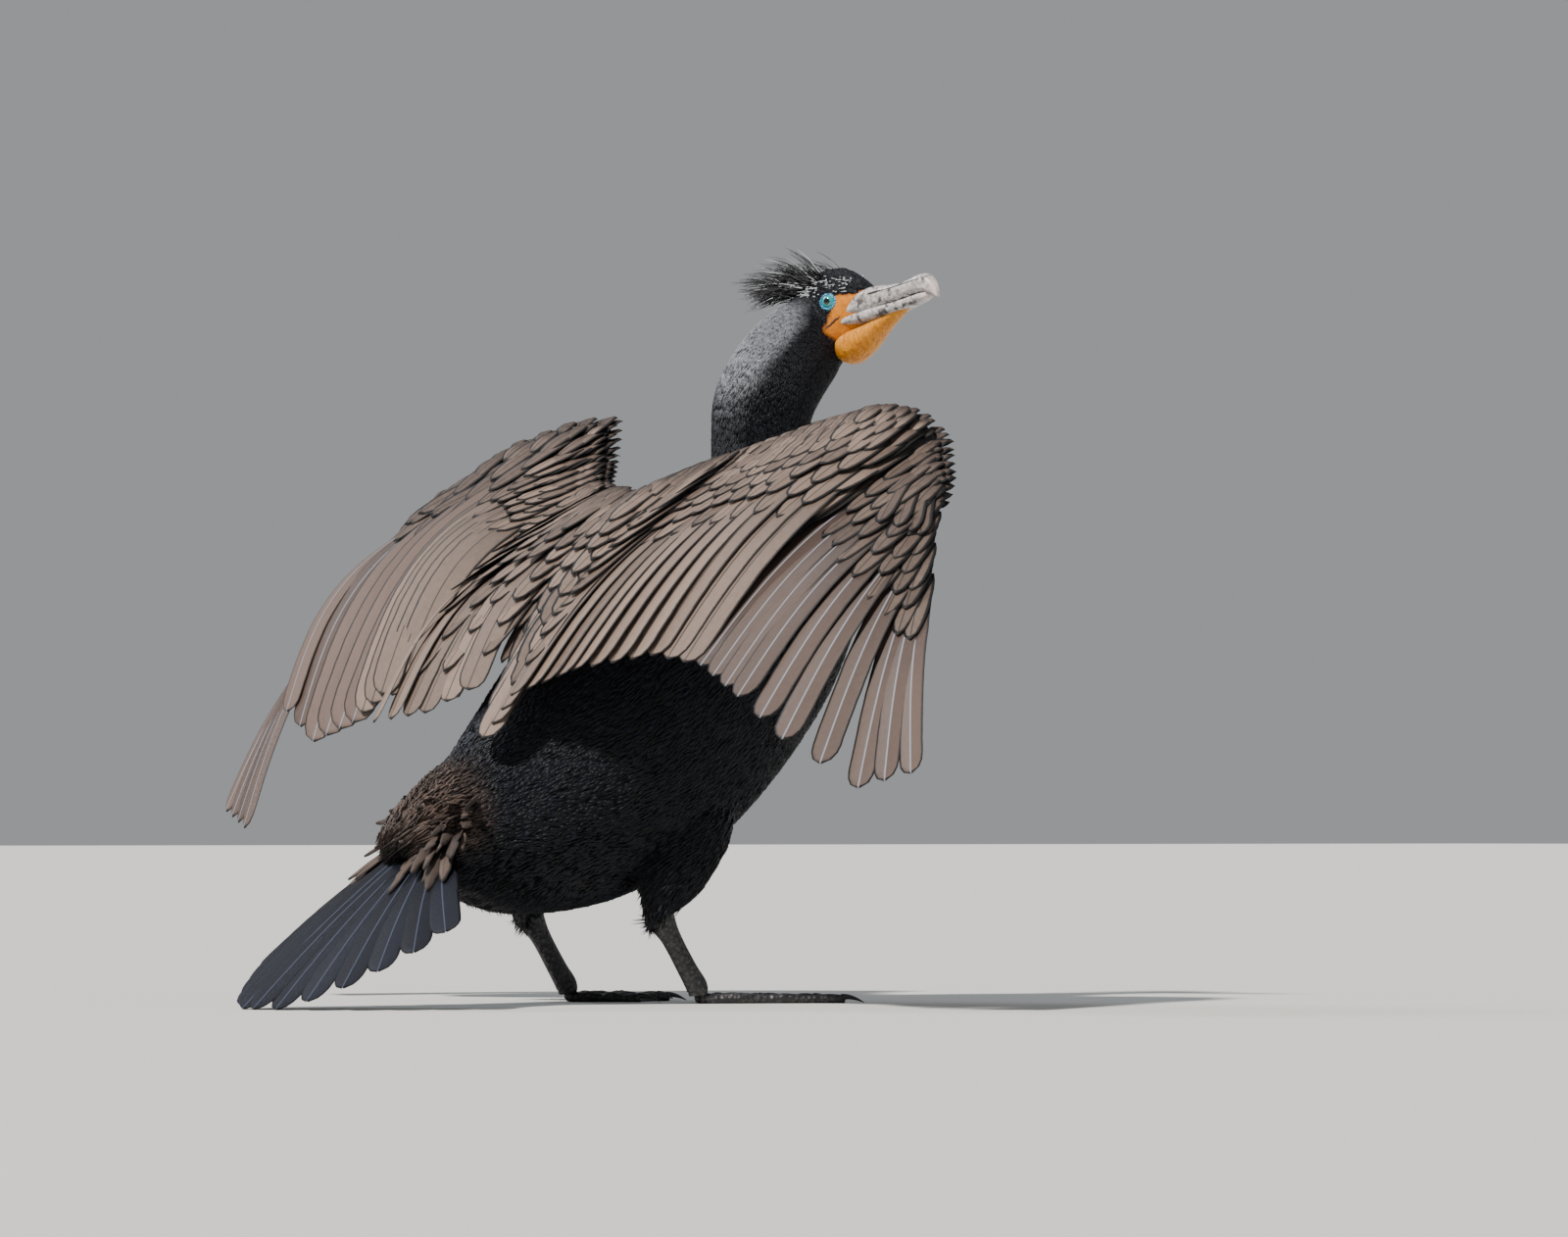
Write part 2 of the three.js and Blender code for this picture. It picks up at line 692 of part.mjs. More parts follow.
// Colours by the start of a node's name.
const COLOURS = [
  ["eye", 0x2fb3b0],
  ["bill", 0xc9c8bf],
  ["gular", 0xe8871e],
  ["wing", 0x8d8078],
  ["foot", 0x26262a],
  ["shank", 0x2c2c30],
  ["tail", 0x23283a],
  ["", 0x14151d],
];
const group = new THREE.Group();
for (const [name, solid] of parts) {
  const mesh = solid.getMesh();
  const count = mesh.numProp;
  const flat = new Float32Array(mesh.numVert * 3);
  for (let i = 0; i < mesh.numVert; i++)
    flat.set(mesh.vertProperties.subarray(i * count, i * count + 3), i * 3);
  const geometry = new THREE.BufferGeometry();
  geometry.setAttribute("position", new THREE.BufferAttribute(flat, 3));
  geometry.setIndex([...mesh.triVerts]);
  geometry.computeVertexNormals();
  const colour = COLOURS.find(([start]) => name.startsWith(start))[1];
  const made = new THREE.Mesh(geometry, new THREE.MeshStandardMaterial({ color: colour, roughness: 0.6 }));
  made.name = name;
  group.add(made);
}

// The origin is the middle of the bounding box, at the floor.
const box = new THREE.Box3().setFromObject(group);
const middle = box.getCenter(new THREE.Vector3());
group.children.forEach((mesh) => mesh.geometry.translate(-middle.x, -middle.y, -box.min.z));
export default group;
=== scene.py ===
import math

import bpy
import numpy as np
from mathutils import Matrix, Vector
from mathutils.bvhtree import BVHTree


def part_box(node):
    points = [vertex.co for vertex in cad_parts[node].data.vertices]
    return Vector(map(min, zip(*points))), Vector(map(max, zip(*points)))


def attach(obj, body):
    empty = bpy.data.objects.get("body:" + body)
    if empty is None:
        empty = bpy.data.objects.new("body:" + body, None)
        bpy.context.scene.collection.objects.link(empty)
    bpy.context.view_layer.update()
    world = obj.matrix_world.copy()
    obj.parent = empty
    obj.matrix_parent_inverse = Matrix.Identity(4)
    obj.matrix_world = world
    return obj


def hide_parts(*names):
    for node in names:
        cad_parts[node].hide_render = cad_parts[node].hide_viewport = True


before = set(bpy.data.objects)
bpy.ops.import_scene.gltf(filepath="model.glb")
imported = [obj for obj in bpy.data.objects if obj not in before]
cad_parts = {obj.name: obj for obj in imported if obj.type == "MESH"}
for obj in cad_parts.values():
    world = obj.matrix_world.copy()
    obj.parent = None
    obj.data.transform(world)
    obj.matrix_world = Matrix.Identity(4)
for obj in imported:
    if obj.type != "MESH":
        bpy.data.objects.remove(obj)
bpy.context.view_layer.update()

# Place of the bird.
# Every size below is in millimetres in the bird's own frame: it faces +X and its left is +Y.
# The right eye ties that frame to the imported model, whose origin is under the middle of its box.
MM = 0.001
PITCH = math.radians(11)
EYE = np.array([77.0, -20.0, 409.0])
BILL = np.array([0.035 * math.cos(PITCH), -math.cos(PITCH), math.sin(PITCH)])
BILL = BILL / np.linalg.norm(BILL)
UP = np.array([0.0, 0.0, 1.0])


def unit(v):
    """Vectors along the last axis, each divided by its length."""
    v = np.asarray(v, float)
    return v / np.maximum(np.linalg.norm(v, axis=-1, keepdims=True), 1e-9)


CHEEK = unit(np.cross(BILL, UP))
CROWN = unit(np.cross(CHEEK, BILL))
EYE_OUT = 12.6
low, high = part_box("eye_right")
right_eye = EYE + EYE_OUT * CHEEK
SHIFT = np.array((low + high) / 2) / MM - right_eye


# Camera, floor and light.
# A long lens stands low behind the bird's right side, over a wide pale floor.
# A key lamp from behind the camera, a rim lamp and an even sky light the bird.
LOOK = math.radians(40)
AIM_ASIDE = 35.4
AIM_HEIGHT = 223
CAMERA_AWAY = 5.0
CAMERA_HEIGHT = 0.10
FRAME_WIDTH = 0.914
SENSOR_WIDTH = 36
FLOOR_REACH = 40
FLOOR_COLOUR = (0.62, 0.62, 0.60, 1)
SKY_COLOUR = (0.80, 0.82, 0.84, 1)
SKY_STRENGTH = 0.4


def placed(name, data):
    """An object that holds the data, linked to the scene."""
    made = bpy.data.objects.new(name, data)
    bpy.context.collection.objects.link(made)
    return made


forward = np.array([math.sin(LOOK), math.cos(LOOK), 0.0])
rightward = np.array([math.cos(LOOK), -math.sin(LOOK), 0.0])
aim = (AIM_ASIDE * rightward + AIM_HEIGHT * UP + SHIFT) * MM
camera_data = bpy.data.cameras.new("camera")
camera = placed("camera", camera_data)
bpy.context.scene.camera = camera
camera.location = Vector((*(aim - CAMERA_AWAY * forward)[:2], CAMERA_HEIGHT))
camera.rotation_mode = "QUATERNION"
camera.rotation_quaternion = (Vector(aim) - camera.location).to_track_quat("-Z", "Y")
camera_data.sensor_width = SENSOR_WIDTH
camera_data.lens = SENSOR_WIDTH * CAMERA_AWAY / FRAME_WIDTH
camera_data.clip_end = 5 * FLOOR_REACH

floor_mesh = bpy.data.meshes.new("floor")
corners = [(-1, -1), (1, -1), (1, 1), (-1, 1)]
floor_points = [(x * FLOOR_REACH, y * FLOOR_REACH, 0) for x, y in corners]
floor_mesh.from_pydata(floor_points, [], [(0, 1, 2, 3)])
floor = placed("floor", floor_mesh)
floor_paint = bpy.data.materials.new("floor_paint")
floor_paint.use_nodes = True
floor_shader = floor_paint.node_tree.nodes["Principled BSDF"]
floor_shader.inputs["Base Color"].default_value = FLOOR_COLOUR
floor_shader.inputs["Roughness"].default_value = 0.9
floor_mesh.materials.append(floor_paint)

world = bpy.data.worlds.new("studio")
world.use_nodes = True
sky = world.node_tree.nodes["Background"]
sky.inputs["Color"].default_value = SKY_COLOUR
sky.inputs["Strength"].default_value = SKY_STRENGTH
bpy.context.scene.world = world


def sun(name, toward, strength, angle, colour):
    """A distant lamp that shines along a direction, soft by its angle."""
    data = bpy.data.lights.new(name, "SUN")
    data.energy = strength
    data.angle = math.radians(angle)
    data.color = colour
    lamp = placed(name, data)
    lamp.rotation_mode = "QUATERNION"
    lamp.rotation_quaternion = Vector(toward).to_track_quat("-Z", "Y")


key_way = 0.55 * forward + 0.5 * rightward - 0.95 * UP
rim_way = -0.5 * forward + 0.7 * rightward - 0.6 * UP
sun("key", key_way, strength=5.6, angle=4, colour=(1.0, 0.96, 0.90))
sun("rim", rim_way, strength=1.0, angle=20, colour=(0.85, 0.92, 1.0))

# Body skin.
# One skin covers trunk, neck, head and thighs, a coat's depth inside the solid forms.
# It is lofted from the same rings as the solids, then fused and smoothed.
COAT = 2.5
NECK_COAT = 0.7 * COAT
HEAD_COAT = 0.8
THIGH_COAT = 1.2
LEFTWARD = np.array([0.0, 1, 0])
VOXEL = 0.0026
SMOOTHING = 0.6
SMOOTHING_ROUNDS = 12
SKIN_TONE = 0.15
# Where each hock is, as [x, y].
HOCKS = {"right": (-84.0, -45.0), "left": (-108.0, 45.0)}
# Stations of the trunk and neck as [x, y, z, half width, half height].
TORSO = [
    [54, 0, 308, 16, 14],
    [55, 0, 290, 38, 38],
    [37, 0, 262, 56, 62],
    [8, 0, 230, 66, 78],
    [-32, 0, 192, 71, 85],
    [-72, 0, 156, 70, 84],
    [-115, 0, 126, 64, 74],
    [-158, 0, 106, 50, 58],
    [-194, 0, 98, 37, 41],
    [-224, 0, 92, 25, 22],
    [-236, 0, 88, 14, 10],
]
NECK = [
    [34, 0, 272, 34, 40],
    [36, 0, 300, 34, 38],
    [29, 0, 330, 30, 31],
    [32, 1, 350, 31, 30],
    [46, 2, 370, 30, 30],
    [62, 2, 385, 27, 28],
    [75, 2, 396, 22, 23],
]
# Stations of the skull as [along the bill from the eye, height of the middle, half width, half height].
SKULL = [
    [-47, -6, 6, 8],
    [-41, -5, 13, 18],
    [-28, -5, 18, 25.5],
    [-12, -4, 18.5, 27.5],
    [2, -3.5, 16.2, 25],
    [13, -4, 12, 19],
    [22, -5.5, 9.2, 12.5],
    [29, -7.5, 7.2, 8],
]
# Heights on the neck, and how far forward its middle line is there.
NECK_HEIGHTS = [300, 330, 350, 370, 385, 396, 420]
NECK_MIDDLES = [36, 29, 32, 46, 62, 75, 90]
# Heights over the eye's line on the face, and how far forward of the eye the bare skin begins there.
FACE_HEIGHTS = [-40, -31, -16, -3, 5]
FACE_EDGES = [5, 2, -3, 2.5, 4]


def head_point(along, cheek, up):
    """A point of the head: so far along the bill, out to the right cheek and up to the crown."""
    level = EYE + np.multiply.outer(along, BILL)
    return level + np.multiply.outer(cheek, CHEEK) + np.multiply.outer(up, CROWN)


def smooth_path(stations, count):
    """Catmull-Rom curve through the stations, sampled evenly in their index."""
    s = np.asarray(stations, float)
    padded = np.vstack([2 * s[0] - s[1], s, 2 * s[-1] - s[-2]])
    at = np.linspace(0, len(s) - 1, count)
    i = np.minimum(at.astype(int), len(s) - 2)
    t = (at - i)[:, None]
    a, b, c, d = padded[i], padded[i + 1], padded[i + 2], padded[i + 3]
    square = (2 * a - 5 * b + 4 * c - d) * t**2
    cube = (3 * b - a - 3 * c + d) * t**3
    return 0.5 * (2 * b + (c - a) * t + square + cube)


def ellipse_rings(centres, across, up, wide, high, sides, power=1.0):
    """Rings of points: centre + across * width * cos(angle)^power + up * height * sin(angle)^power.

    Across and up are one vector for all rings, or one for each.
    """
    angle = np.linspace(0, 2 * np.pi, sides, endpoint=False) + 0.5 * np.pi / sides
    c = np.sign(np.cos(angle)) * np.abs(np.cos(angle)) ** power
    s = np.sign(np.sin(angle)) * np.abs(np.sin(angle)) ** power
    c = c[None, :, None] * wide[:, None, None]
    s = s[None, :, None] * high[:, None, None]
    return centres[:, None] + c * np.atleast_2d(across)[:, None] + s * np.atleast_2d(up)[:, None]


def limb_rings(stations, side, count, sides, inset=0.0):
    """Rings square to a smooth path, with the side vector as the way the width runs."""
    p = smooth_path(stations, count)
    along = unit(np.gradient(p[:, :3], axis=0))
    across = unit(side - (along @ side)[:, None] * along)
    up = np.cross(along, across)
    wide = np.maximum(p[:, 3] - inset, 1.0)
    high = np.maximum(p[:, 4] - inset, 1.0)
    return ellipse_rings(p[:, :3], across, up, wide, high, sides)


def head_rings(stations, count, sides, inset=0.0, power=1.0):
    """Rings of the head, square to the bill, through a smooth path of its stations."""
    p = smooth_path(stations, count)
    centres = head_point(p[:, 0], np.zeros(count), p[:, 1])
    wide = np.maximum(p[:, 2] - inset, 0.8)
    high = np.maximum(p[:, 3] - inset, 0.8)
    return ellipse_rings(centres, CHEEK, CROWN, wide, high, sides, power)


def tube_faces(rings, sides):
    """Quads between successive rings, and one polygon over each end."""
    r, i = np.meshgrid(np.arange(rings - 1), np.arange(sides), indexing="ij")
    j = (i + 1) % sides
    quads = np.stack([r * sides + i, r * sides + j, (r + 1) * sides + j, (r + 1) * sides + i], -1)
    ends = [list(range(sides))[::-1], list(range((rings - 1) * sides, rings * sides))]
    return quads.reshape(-1, 4).tolist() + ends


def rows_of(items, key, width, kind=float):
    """One measure of every item in a mesh, as rows of the given width."""
    flat = np.zeros(len(items) * width, kind)
    items.foreach_get(key, flat)
    return flat.reshape(-1, width)


def outward(mesh):
    """Turns a closed mesh's faces outward when its signed volume is negative."""
    mesh.calc_loop_triangles()
    corners = rows_of(mesh.loop_triangles, "vertices", 3, int)
    a, b, c = rows_of(mesh.vertices, "co", 3)[corners].transpose(1, 0, 2)
    if np.einsum("ij,ij->i", a, np.cross(b, c)).sum() < 0:
        mesh.flip_normals()


def lay_values(mesh, values):
    """Lays named numbers on a mesh's points, for its material to read."""
    for key, value in values.items():
        layer = mesh.attributes.new(key, "FLOAT", "POINT")
        layer.data.foreach_set("value", np.asarray(value, np.float32))


def smooth_faces(mesh):
    """Shades all of a mesh's faces smooth."""
    mesh.polygons.foreach_set("use_smooth", np.ones(len(mesh.polygons), bool))


def fade(value, start, width):
    """Nought up to the start, one from a width past it, and a straight rise between."""
    return np.clip((value - start) / width, 0, 1)


class Paint:
    """A material, and short ways to add and join its nodes. Colours are red, green and blue."""

    def __init__(self, name, rough=0.5, **fixed):
        self.made = bpy.data.materials.new(name)
        self.made.use_nodes = True
        self.tree = self.made.node_tree
        self.shader = self.tree.nodes["Principled BSDF"]
        self.shader.inputs["Roughness"].default_value = rough
        for key, value in fixed.items():
            self.shader.inputs[key.replace("_", " ")].default_value = value

    def node(self, kind, **settings):
        """A new shader node with its settings."""
        made = self.tree.nodes.new("ShaderNode" + kind)
        for key, value in settings.items():
            setattr(made, key, value)
        return made

    def put(self, socket, value):
        """Joins another node's output to a socket, or sets the socket to a number or a colour."""
        if isinstance(value, bpy.types.NodeSocket):
            self.tree.links.new(value, socket)
        elif isinstance(value, tuple):
            socket.default_value = (*value, 1)
        else:
            socket.default_value = value

    def value(self, name):
        """The number laid on the piece's points under a name."""
        return self.node("Attribute", attribute_name=name).outputs["Fac"]

    def math(self, operation, a, b=0.0, clamp=False):
        """One step of arithmetic on one or two values."""
        made = self.node("Math", operation=operation, use_clamp=clamp)
        self.put(made.inputs[0], a)
        self.put(made.inputs[1], b)
        return made.outputs[0]

    def ramp(self, value, low, high):
        """An eased rise from nought at low to one at high."""
        made = self.node("MapRange", interpolation_type="SMOOTHSTEP")
        self.put(made.inputs["Value"], value)
        self.put(made.inputs["From Min"], low)
        self.put(made.inputs["From Max"], high)
        return made.outputs["Result"]

    def mix(self, share, a, b):
        """Colour a, going over to colour b by the share."""
        made = self.node("Mix", data_type="RGBA")
        self.put(made.inputs["Factor"], share)
        self.put(made.inputs["A"], a)
        self.put(made.inputs["B"], b)
        return made.outputs["Result"]

    def noise(self, scale, detail=3.0, stretch=None):
        """Cloudy noise with so many waves to the metre, drawn out along an axis if asked."""
        where = self.node("TexCoord").outputs["Object"]
        if stretch:
            stretched = self.node("VectorMath", operation="MULTIPLY")
            self.put(stretched.inputs[0], where)
            stretched.inputs[1].default_value = stretch
            where = stretched.outputs[0]
        made = self.node("TexNoise")
        self.put(made.inputs["Vector"], where)
        made.inputs["Scale"].default_value = scale
        made.inputs["Detail"].default_value = detail
        return made.outputs["Fac"]

    def cells(self, scale):
        """Distance from the middles of small cells, so many to the metre."""
        made = self.node("TexVoronoi")
        self.put(made.inputs["Vector"], self.node("TexCoord").outputs["Object"])
        made.inputs["Scale"].default_value = scale
        return made.outputs["Distance"]

    def bump(self, height, distance, strength=1.0):
        """Relief that follows a value, so high in metres where the value is one."""
        made = self.node("Bump")
        made.inputs["Strength"].default_value = strength
        made.inputs["Distance"].default_value = distance
        self.put(made.inputs["Height"], height)
        self.put(self.shader.inputs["Normal"], made.outputs["Normal"])

    def colour(self, value):
        """Sets the base colour and gives the finished material."""
        self.put(self.shader.inputs["Base Color"], value)
        return self.made


def plumage_colour(points):
    """Markings by place: a painted pale sheen down the nape, brown at the rump, and bare orange about
    the face.

    Each is a product of fades over a few millimetres of height, depth or length along the bill.
    """
    x, _, z = points.T
    along, out, up = ((points - EYE) @ way for way in (BILL, CHEEK, CROWN))
    middle = np.interp(z, NECK_HEIGHTS, NECK_MIDDLES)
    on_neck = fade(z, 300, 40) * fade(414 - z, 0, 10)
    # The nape mask is painted sheen: a paler band along the back edge of the neck, strongest high up.
    nape_sheen = on_neck * fade(middle - 24 - x, 0, 9) * (0.35 + 0.65 * fade(z, 335, 25))
    rump = fade(-x, 190, 22) * fade(z, 84, 14)
    back_edge = np.interp(up, FACE_HEIGHTS, FACE_EDGES)
    lores = fade(along, back_edge, 1.2) * fade(4.5 - 0.1 * along - up, 0, 1.2)
    bare = lores * ((up > -34) & (np.abs(out) < 30))
    return nape_sheen, rump, bare


def plumage_paint(name, rough):
    """Blue-black plumage with a painted pale sheen, brown and orange laid over it by the piece's own
    attributes.
    """
    p = Paint(name, rough, Specular_IOR_Level=0.22, Sheen_Weight=0.02, Sheen_Roughness=0.35)
    tone = p.value("tone")
    black = p.mix(tone, (0.0015, 0.002, 0.0035), (0.007, 0.0085, 0.016))
    # The paler colour here is the painted sheen that the nape mask lays on.
    sheen_grey = p.mix(tone, (0.07, 0.075, 0.09), (0.36, 0.38, 0.42))
    brown = p.mix(tone, (0.006, 0.004, 0.004), (0.115, 0.078, 0.062))
    orange = p.mix(p.noise(330, 5.0), (0.34, 0.07, 0.005), (0.86, 0.30, 0.015))
    laid = p.mix(p.value("nape_sheen"), black, sheen_grey)
    laid = p.mix(p.value("rump"), laid, brown)
    laid = p.mix(p.value("bare"), laid, orange)
    p.bump(p.cells(900), 0.0004, 0.5)
    return p.colour(laid)


skin_rings = [
    limb_rings(TORSO, LEFTWARD, 60, 48, COAT),
    limb_rings(NECK, LEFTWARD, 40, 40, NECK_COAT),
    head_rings(SKULL, 40, 40, HEAD_COAT),
]
for x, y in HOCKS.values():
    thigh = [
        [x + 30, y * 0.62, 136, 24, 40],
        [x + 22, y * 0.8, 108, 22, 36],
        [x + 10, y * 0.94, 80, 16, 26],
        [x + 1, y, 62, 10.5, 13],
        [x - 1, y, 50, 7, 8],
    ]
    skin_rings.append(limb_rings(thigh, LEFTWARD, 24, 28, THIGH_COAT))
all_points, all_faces, so_far = [], [], 0
for rings in skin_rings:
    all_points.append(rings.reshape(-1, 3))
    all_faces += [[corner + so_far for corner in face] for face in tube_faces(*rings.shape[:2])]
    so_far += rings.shape[0] * rings.shape[1]
rough_mesh = bpy.data.meshes.new("rough_skin")
rough_mesh.from_pydata(((np.vstack(all_points) + SHIFT) * MM).tolist(), [], all_faces)
rough_skin = placed("rough_skin", rough_mesh)
fuse = rough_skin.modifiers.new("fuse", "REMESH")
fuse.mode = "VOXEL"
fuse.voxel_size = VOXEL
soften = rough_skin.modifiers.new("soften", "SMOOTH")
soften.factor = SMOOTHING
soften.iterations = SMOOTHING_ROUNDS
evaluated = rough_skin.evaluated_get(bpy.context.evaluated_depsgraph_get())
skin_mesh = bpy.data.meshes.new_from_object(evaluated)
bpy.data.objects.remove(rough_skin)
skin_mesh.name = "skin"
outward(skin_mesh)
skin = placed("skin", skin_mesh)
bpy.context.view_layer.objects.active = skin
skin.select_set(True)
bpy.ops.object.mode_set(mode="EDIT")
bpy.ops.mesh.select_all(action="SELECT")
bpy.ops.uv.smart_project(angle_limit=math.radians(70), island_margin=0.004)
bpy.ops.object.mode_set(mode="OBJECT")
skin.select_set(False)
skin_mesh.uv_layers[0].name = "OFBake"
skin_points = rows_of(skin_mesh.vertices, "co", 3) / MM - SHIFT
# The skin carries the painted nape sheen, the rump and the bare face as attributes.
nape_sheen, rump, bare = plumage_colour(skin_points)
skin_tone = np.full(len(skin_points), SKIN_TONE)
lay_values(skin_mesh, {"nape_sheen": nape_sheen, "rump": rump, "bare": bare, "tone": skin_tone})
smooth_faces(skin_mesh)
skin_mesh.materials.clear()
skin_mesh.materials.append(plumage_paint("skin_paint", 0.6))
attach(skin, "root")
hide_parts("torso", "neck", "head", "thigh_right", "thigh_left")

# Body coat.
# Small contour feathers in tufts of narrow blades, rooted in the skin and lying from head to tail.
# They are shortest on the face and longest on the flanks and thighs.
TUFTS = 19000
PIECE_TRIANGLES = 190000
# A tuft's sizes on the body, and what the neck, the head and the rump add to them.
TUFT_LENGTH = {"body": 17, "neck": -7.5, "head": -4.5, "rump": 6}
TUFT_WIDTH = {"body": 7.5, "neck": -3, "head": -2, "rump": 0}
TUFT_LIFT = {"body": 1.2, "neck": -0.65, "head": -0.15, "rump": 2.4}
NECK_DENSER, HEAD_DENSER = 1.6, 3.4
BARE_LIMIT = 0.35
# Rows of a blade, as shares of its length, of its lift and of the tuft's width.
BLADES = 6
BLADE_BASE = (-0.05, -0.8, 0.22)
BLADE_MIDDLE = (0.5, 1.0, 0.42)
BLADE_TIP = (1.0, 0.55, 0.52)
BLADE_SIDES = [[0, 3, 4], [0, 4, 1], [1, 4, 5], [1, 5, 2], [2, 5, 3], [2, 3, 0]]
BLADE_ENDS = [[3, 6, 4], [4, 6, 5], [5, 6, 3], [0, 1, 2]]
BLADE_UNWRAP = [[0, 0], [0.3, 0], [0.15, 0.1], [0, 0.5], [0.3, 0.5], [0.15, 0.6], [0.15, 1.0]]
TUFT_PATCH = 0.003
rng = np.random.default_rng(7)
# The line from bill to tail that the feathers lie along.
LIE = np.array(
    [
        head_point(40, 0, -6),
        head_point(0, 0, -4),
        head_point(-26, 0, -8),
        [66, 2, 388],
        [46, 2, 370],
        [32, 1, 350],
        [29, 0, 330],
        [36, 0, 300],
        [30, 0, 262],
        [8, 0, 230],
        [-32, 0, 192],
        [-72, 0, 156],
        [-115, 0, 126],
        [-158, 0, 106],
        [-236, 0, 88],
    ]
)


def piece(name, points, faces, paint, replaces=(), slot=None, values=None, uv=None):
    """A mesh object from points in millimetres, riding on the one body."""
    mesh = bpy.data.meshes.new(name)
    mesh.from_pydata(((points + SHIFT) * MM).tolist(), [], faces)
    mesh.update()
    outward(mesh)
    lay_values(mesh, values or {})
    if uv is not None:
        loops = rows_of(mesh.loops, "vertex_index", 1, int)[:, 0]
        unwrap = mesh.uv_layers.new(name="OFBake")
        unwrap.data.foreach_set("uv", uv[loops].astype(np.float32).ravel())
    smooth_faces(mesh)
    mesh.materials.append(paint)
    made = placed(name, mesh)
    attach(made, "root")
    if replaces:
        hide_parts(*replaces)
    return made


def lie_of(points, normals):
    """The way feathers point: along the nearest stretch of the head-to-tail line, laid on the skin."""
    starts, runs = LIE[:-1], np.diff(LIE, axis=0)
    share = np.einsum("nsk,sk->ns", points[:, None] - starts, runs) / np.einsum("sk,sk->s", runs, runs)
    nearest = starts + np.clip(share, 0, 1)[..., None] * runs
    far = np.linalg.norm(points[:, None] - nearest, axis=-1)
    weight = np.exp(-((far - far.min(1, keepdims=True)) / 12) ** 2)
    way = weight @ unit(runs)
    leg = fade(92 - points[:, 2], 0, 30)[:, None] * (np.abs(points[:, 1:2]) > 22)
    way = way * (1 - leg) + leg * np.array([-0.3, 0, -1.0])
    return unit(way - np.einsum("ij,ij->i", way, normals)[:, None] * normals)


skin_mesh.calc_loop_triangles()
triangles = rows_of(skin_mesh.loop_triangles, "vertices", 3, int)
triangle_loops = rows_of(skin_mesh.loop_triangles, "loops", 3, int)
skin_uv = rows_of(skin_mesh.uv_layers[0].data, "uv", 2)
skin_normals = rows_of(skin_mesh.vertices, "normal", 3)


def scatter(count, density):
    """Points spread over the skin by area times density, with normals and places on its unwrap."""
    a, b, c = skin_points[triangles].transpose(1, 0, 2)
    middle = (a + b + c) / 3
    weight = np.linalg.norm(np.cross(b - a, c - a), axis=1) * density(middle)
    total = np.cumsum(weight)
    picks = np.searchsorted(total, (np.arange(count) + rng.random(count)) * total[-1] / count)
    picks = np.minimum(picks, len(triangles) - 1)
    u, v = rng.random(count), rng.random(count)
    over = u + v > 1
    u[over], v[over] = 1 - u[over], 1 - v[over]
    share = np.stack([1 - u - v, u, v], 1)[..., None]
    where = (skin_points[triangles[picks]] * share).sum(1)
    normal = unit((skin_normals[triangles[picks]] * share).sum(1))
    place = (skin_uv[triangle_loops[picks]] * share).sum(1)
    return where, normal, place


def tufts(name, roots, normals, places, ways, length, width, lift, values, paint):
    """Tufts of blades: each blade is a three-sided spike from the root along the lie.

    Its points are root + way * reach * share + normal * lift * rise + side * fan * width * spread.
    """
    n = len(roots)
    sides = np.cross(normals, ways)
    fan = np.linspace(-1, 1, BLADES)[None, :] + rng.normal(0, 0.12, (n, BLADES))
    reach = length[:, None] * (1 - 0.22 * fan**2) * rng.uniform(0.8, 1.15, (n, BLADES))
    up = lift[:, None] * rng.uniform(0.5, 1.4, (n, BLADES))
    half = (width / BLADES * 0.85)[:, None, None]

    def at(share, rise, spread):
        return (
            roots[:, None]
            + ways[:, None] * (reach * share)[..., None]
            + normals[:, None] * (up * rise)[..., None]
            + sides[:, None] * (fan * width[:, None] * spread)[..., None]
        )

    base, mid, tip = at(*BLADE_BASE), at(*BLADE_MIDDLE), at(*BLADE_TIP)
    aside, above = sides[:, None] * half, normals[:, None] * half
    base_corners = [base - aside, base + aside, base + 0.5 * above]
    mid_corners = [mid - 0.9 * aside, mid + 0.9 * aside, mid + 0.5 * above]
    corners = np.stack([*base_corners, *mid_corners, tip], axis=2)
    per_blade = corners.shape[2]
    blade = np.array(BLADE_SIDES + BLADE_ENDS)
    faces = (blade[None] + per_blade * np.arange(n * BLADES)[:, None, None]).reshape(-1, 3)
    shift = np.stack([np.tile(np.arange(BLADES) / BLADES, n), np.zeros(n * BLADES)], 1)
    patch = np.array(BLADE_UNWRAP)[None] * (0.5, 1) + shift[:, None] - 0.5
    uv = (np.repeat(places, BLADES, 0)[:, None] + TUFT_PATCH * patch).reshape(-1, 2)
    laid = {key: np.repeat(value, BLADES * per_blade) for key, value in values.items()}
    points = corners.reshape(-1, 3)
    piece(name, points, faces.tolist(), paint, slot="body_feathers", values=laid, uv=uv)


def shares(points):
    """How far each point counts as neck and as head, from nought to one."""
    neck = fade(points[:, 2], 300, 30) * (points[:, 0] > -20)
    head = fade(points[:, 2], 350, 40) * (points[:, 0] > 20)
    return neck, head


def coat_density(middle):
    """More and smaller tufts toward the head, none on the bare face."""
    neck, head = shares(middle)
    return (1 + NECK_DENSER * neck + HEAD_DENSER * head) * (plumage_colour(middle)[2] < BARE_LIMIT)


def by_place(size):
    """A tuft's size at each root: the body's, plus the shares of neck, head and rump."""
    trunk_and_neck = size["body"] + size["neck"] * neck_share
    return trunk_and_neck + size["head"] * head_share + size["rump"] * coat_rump


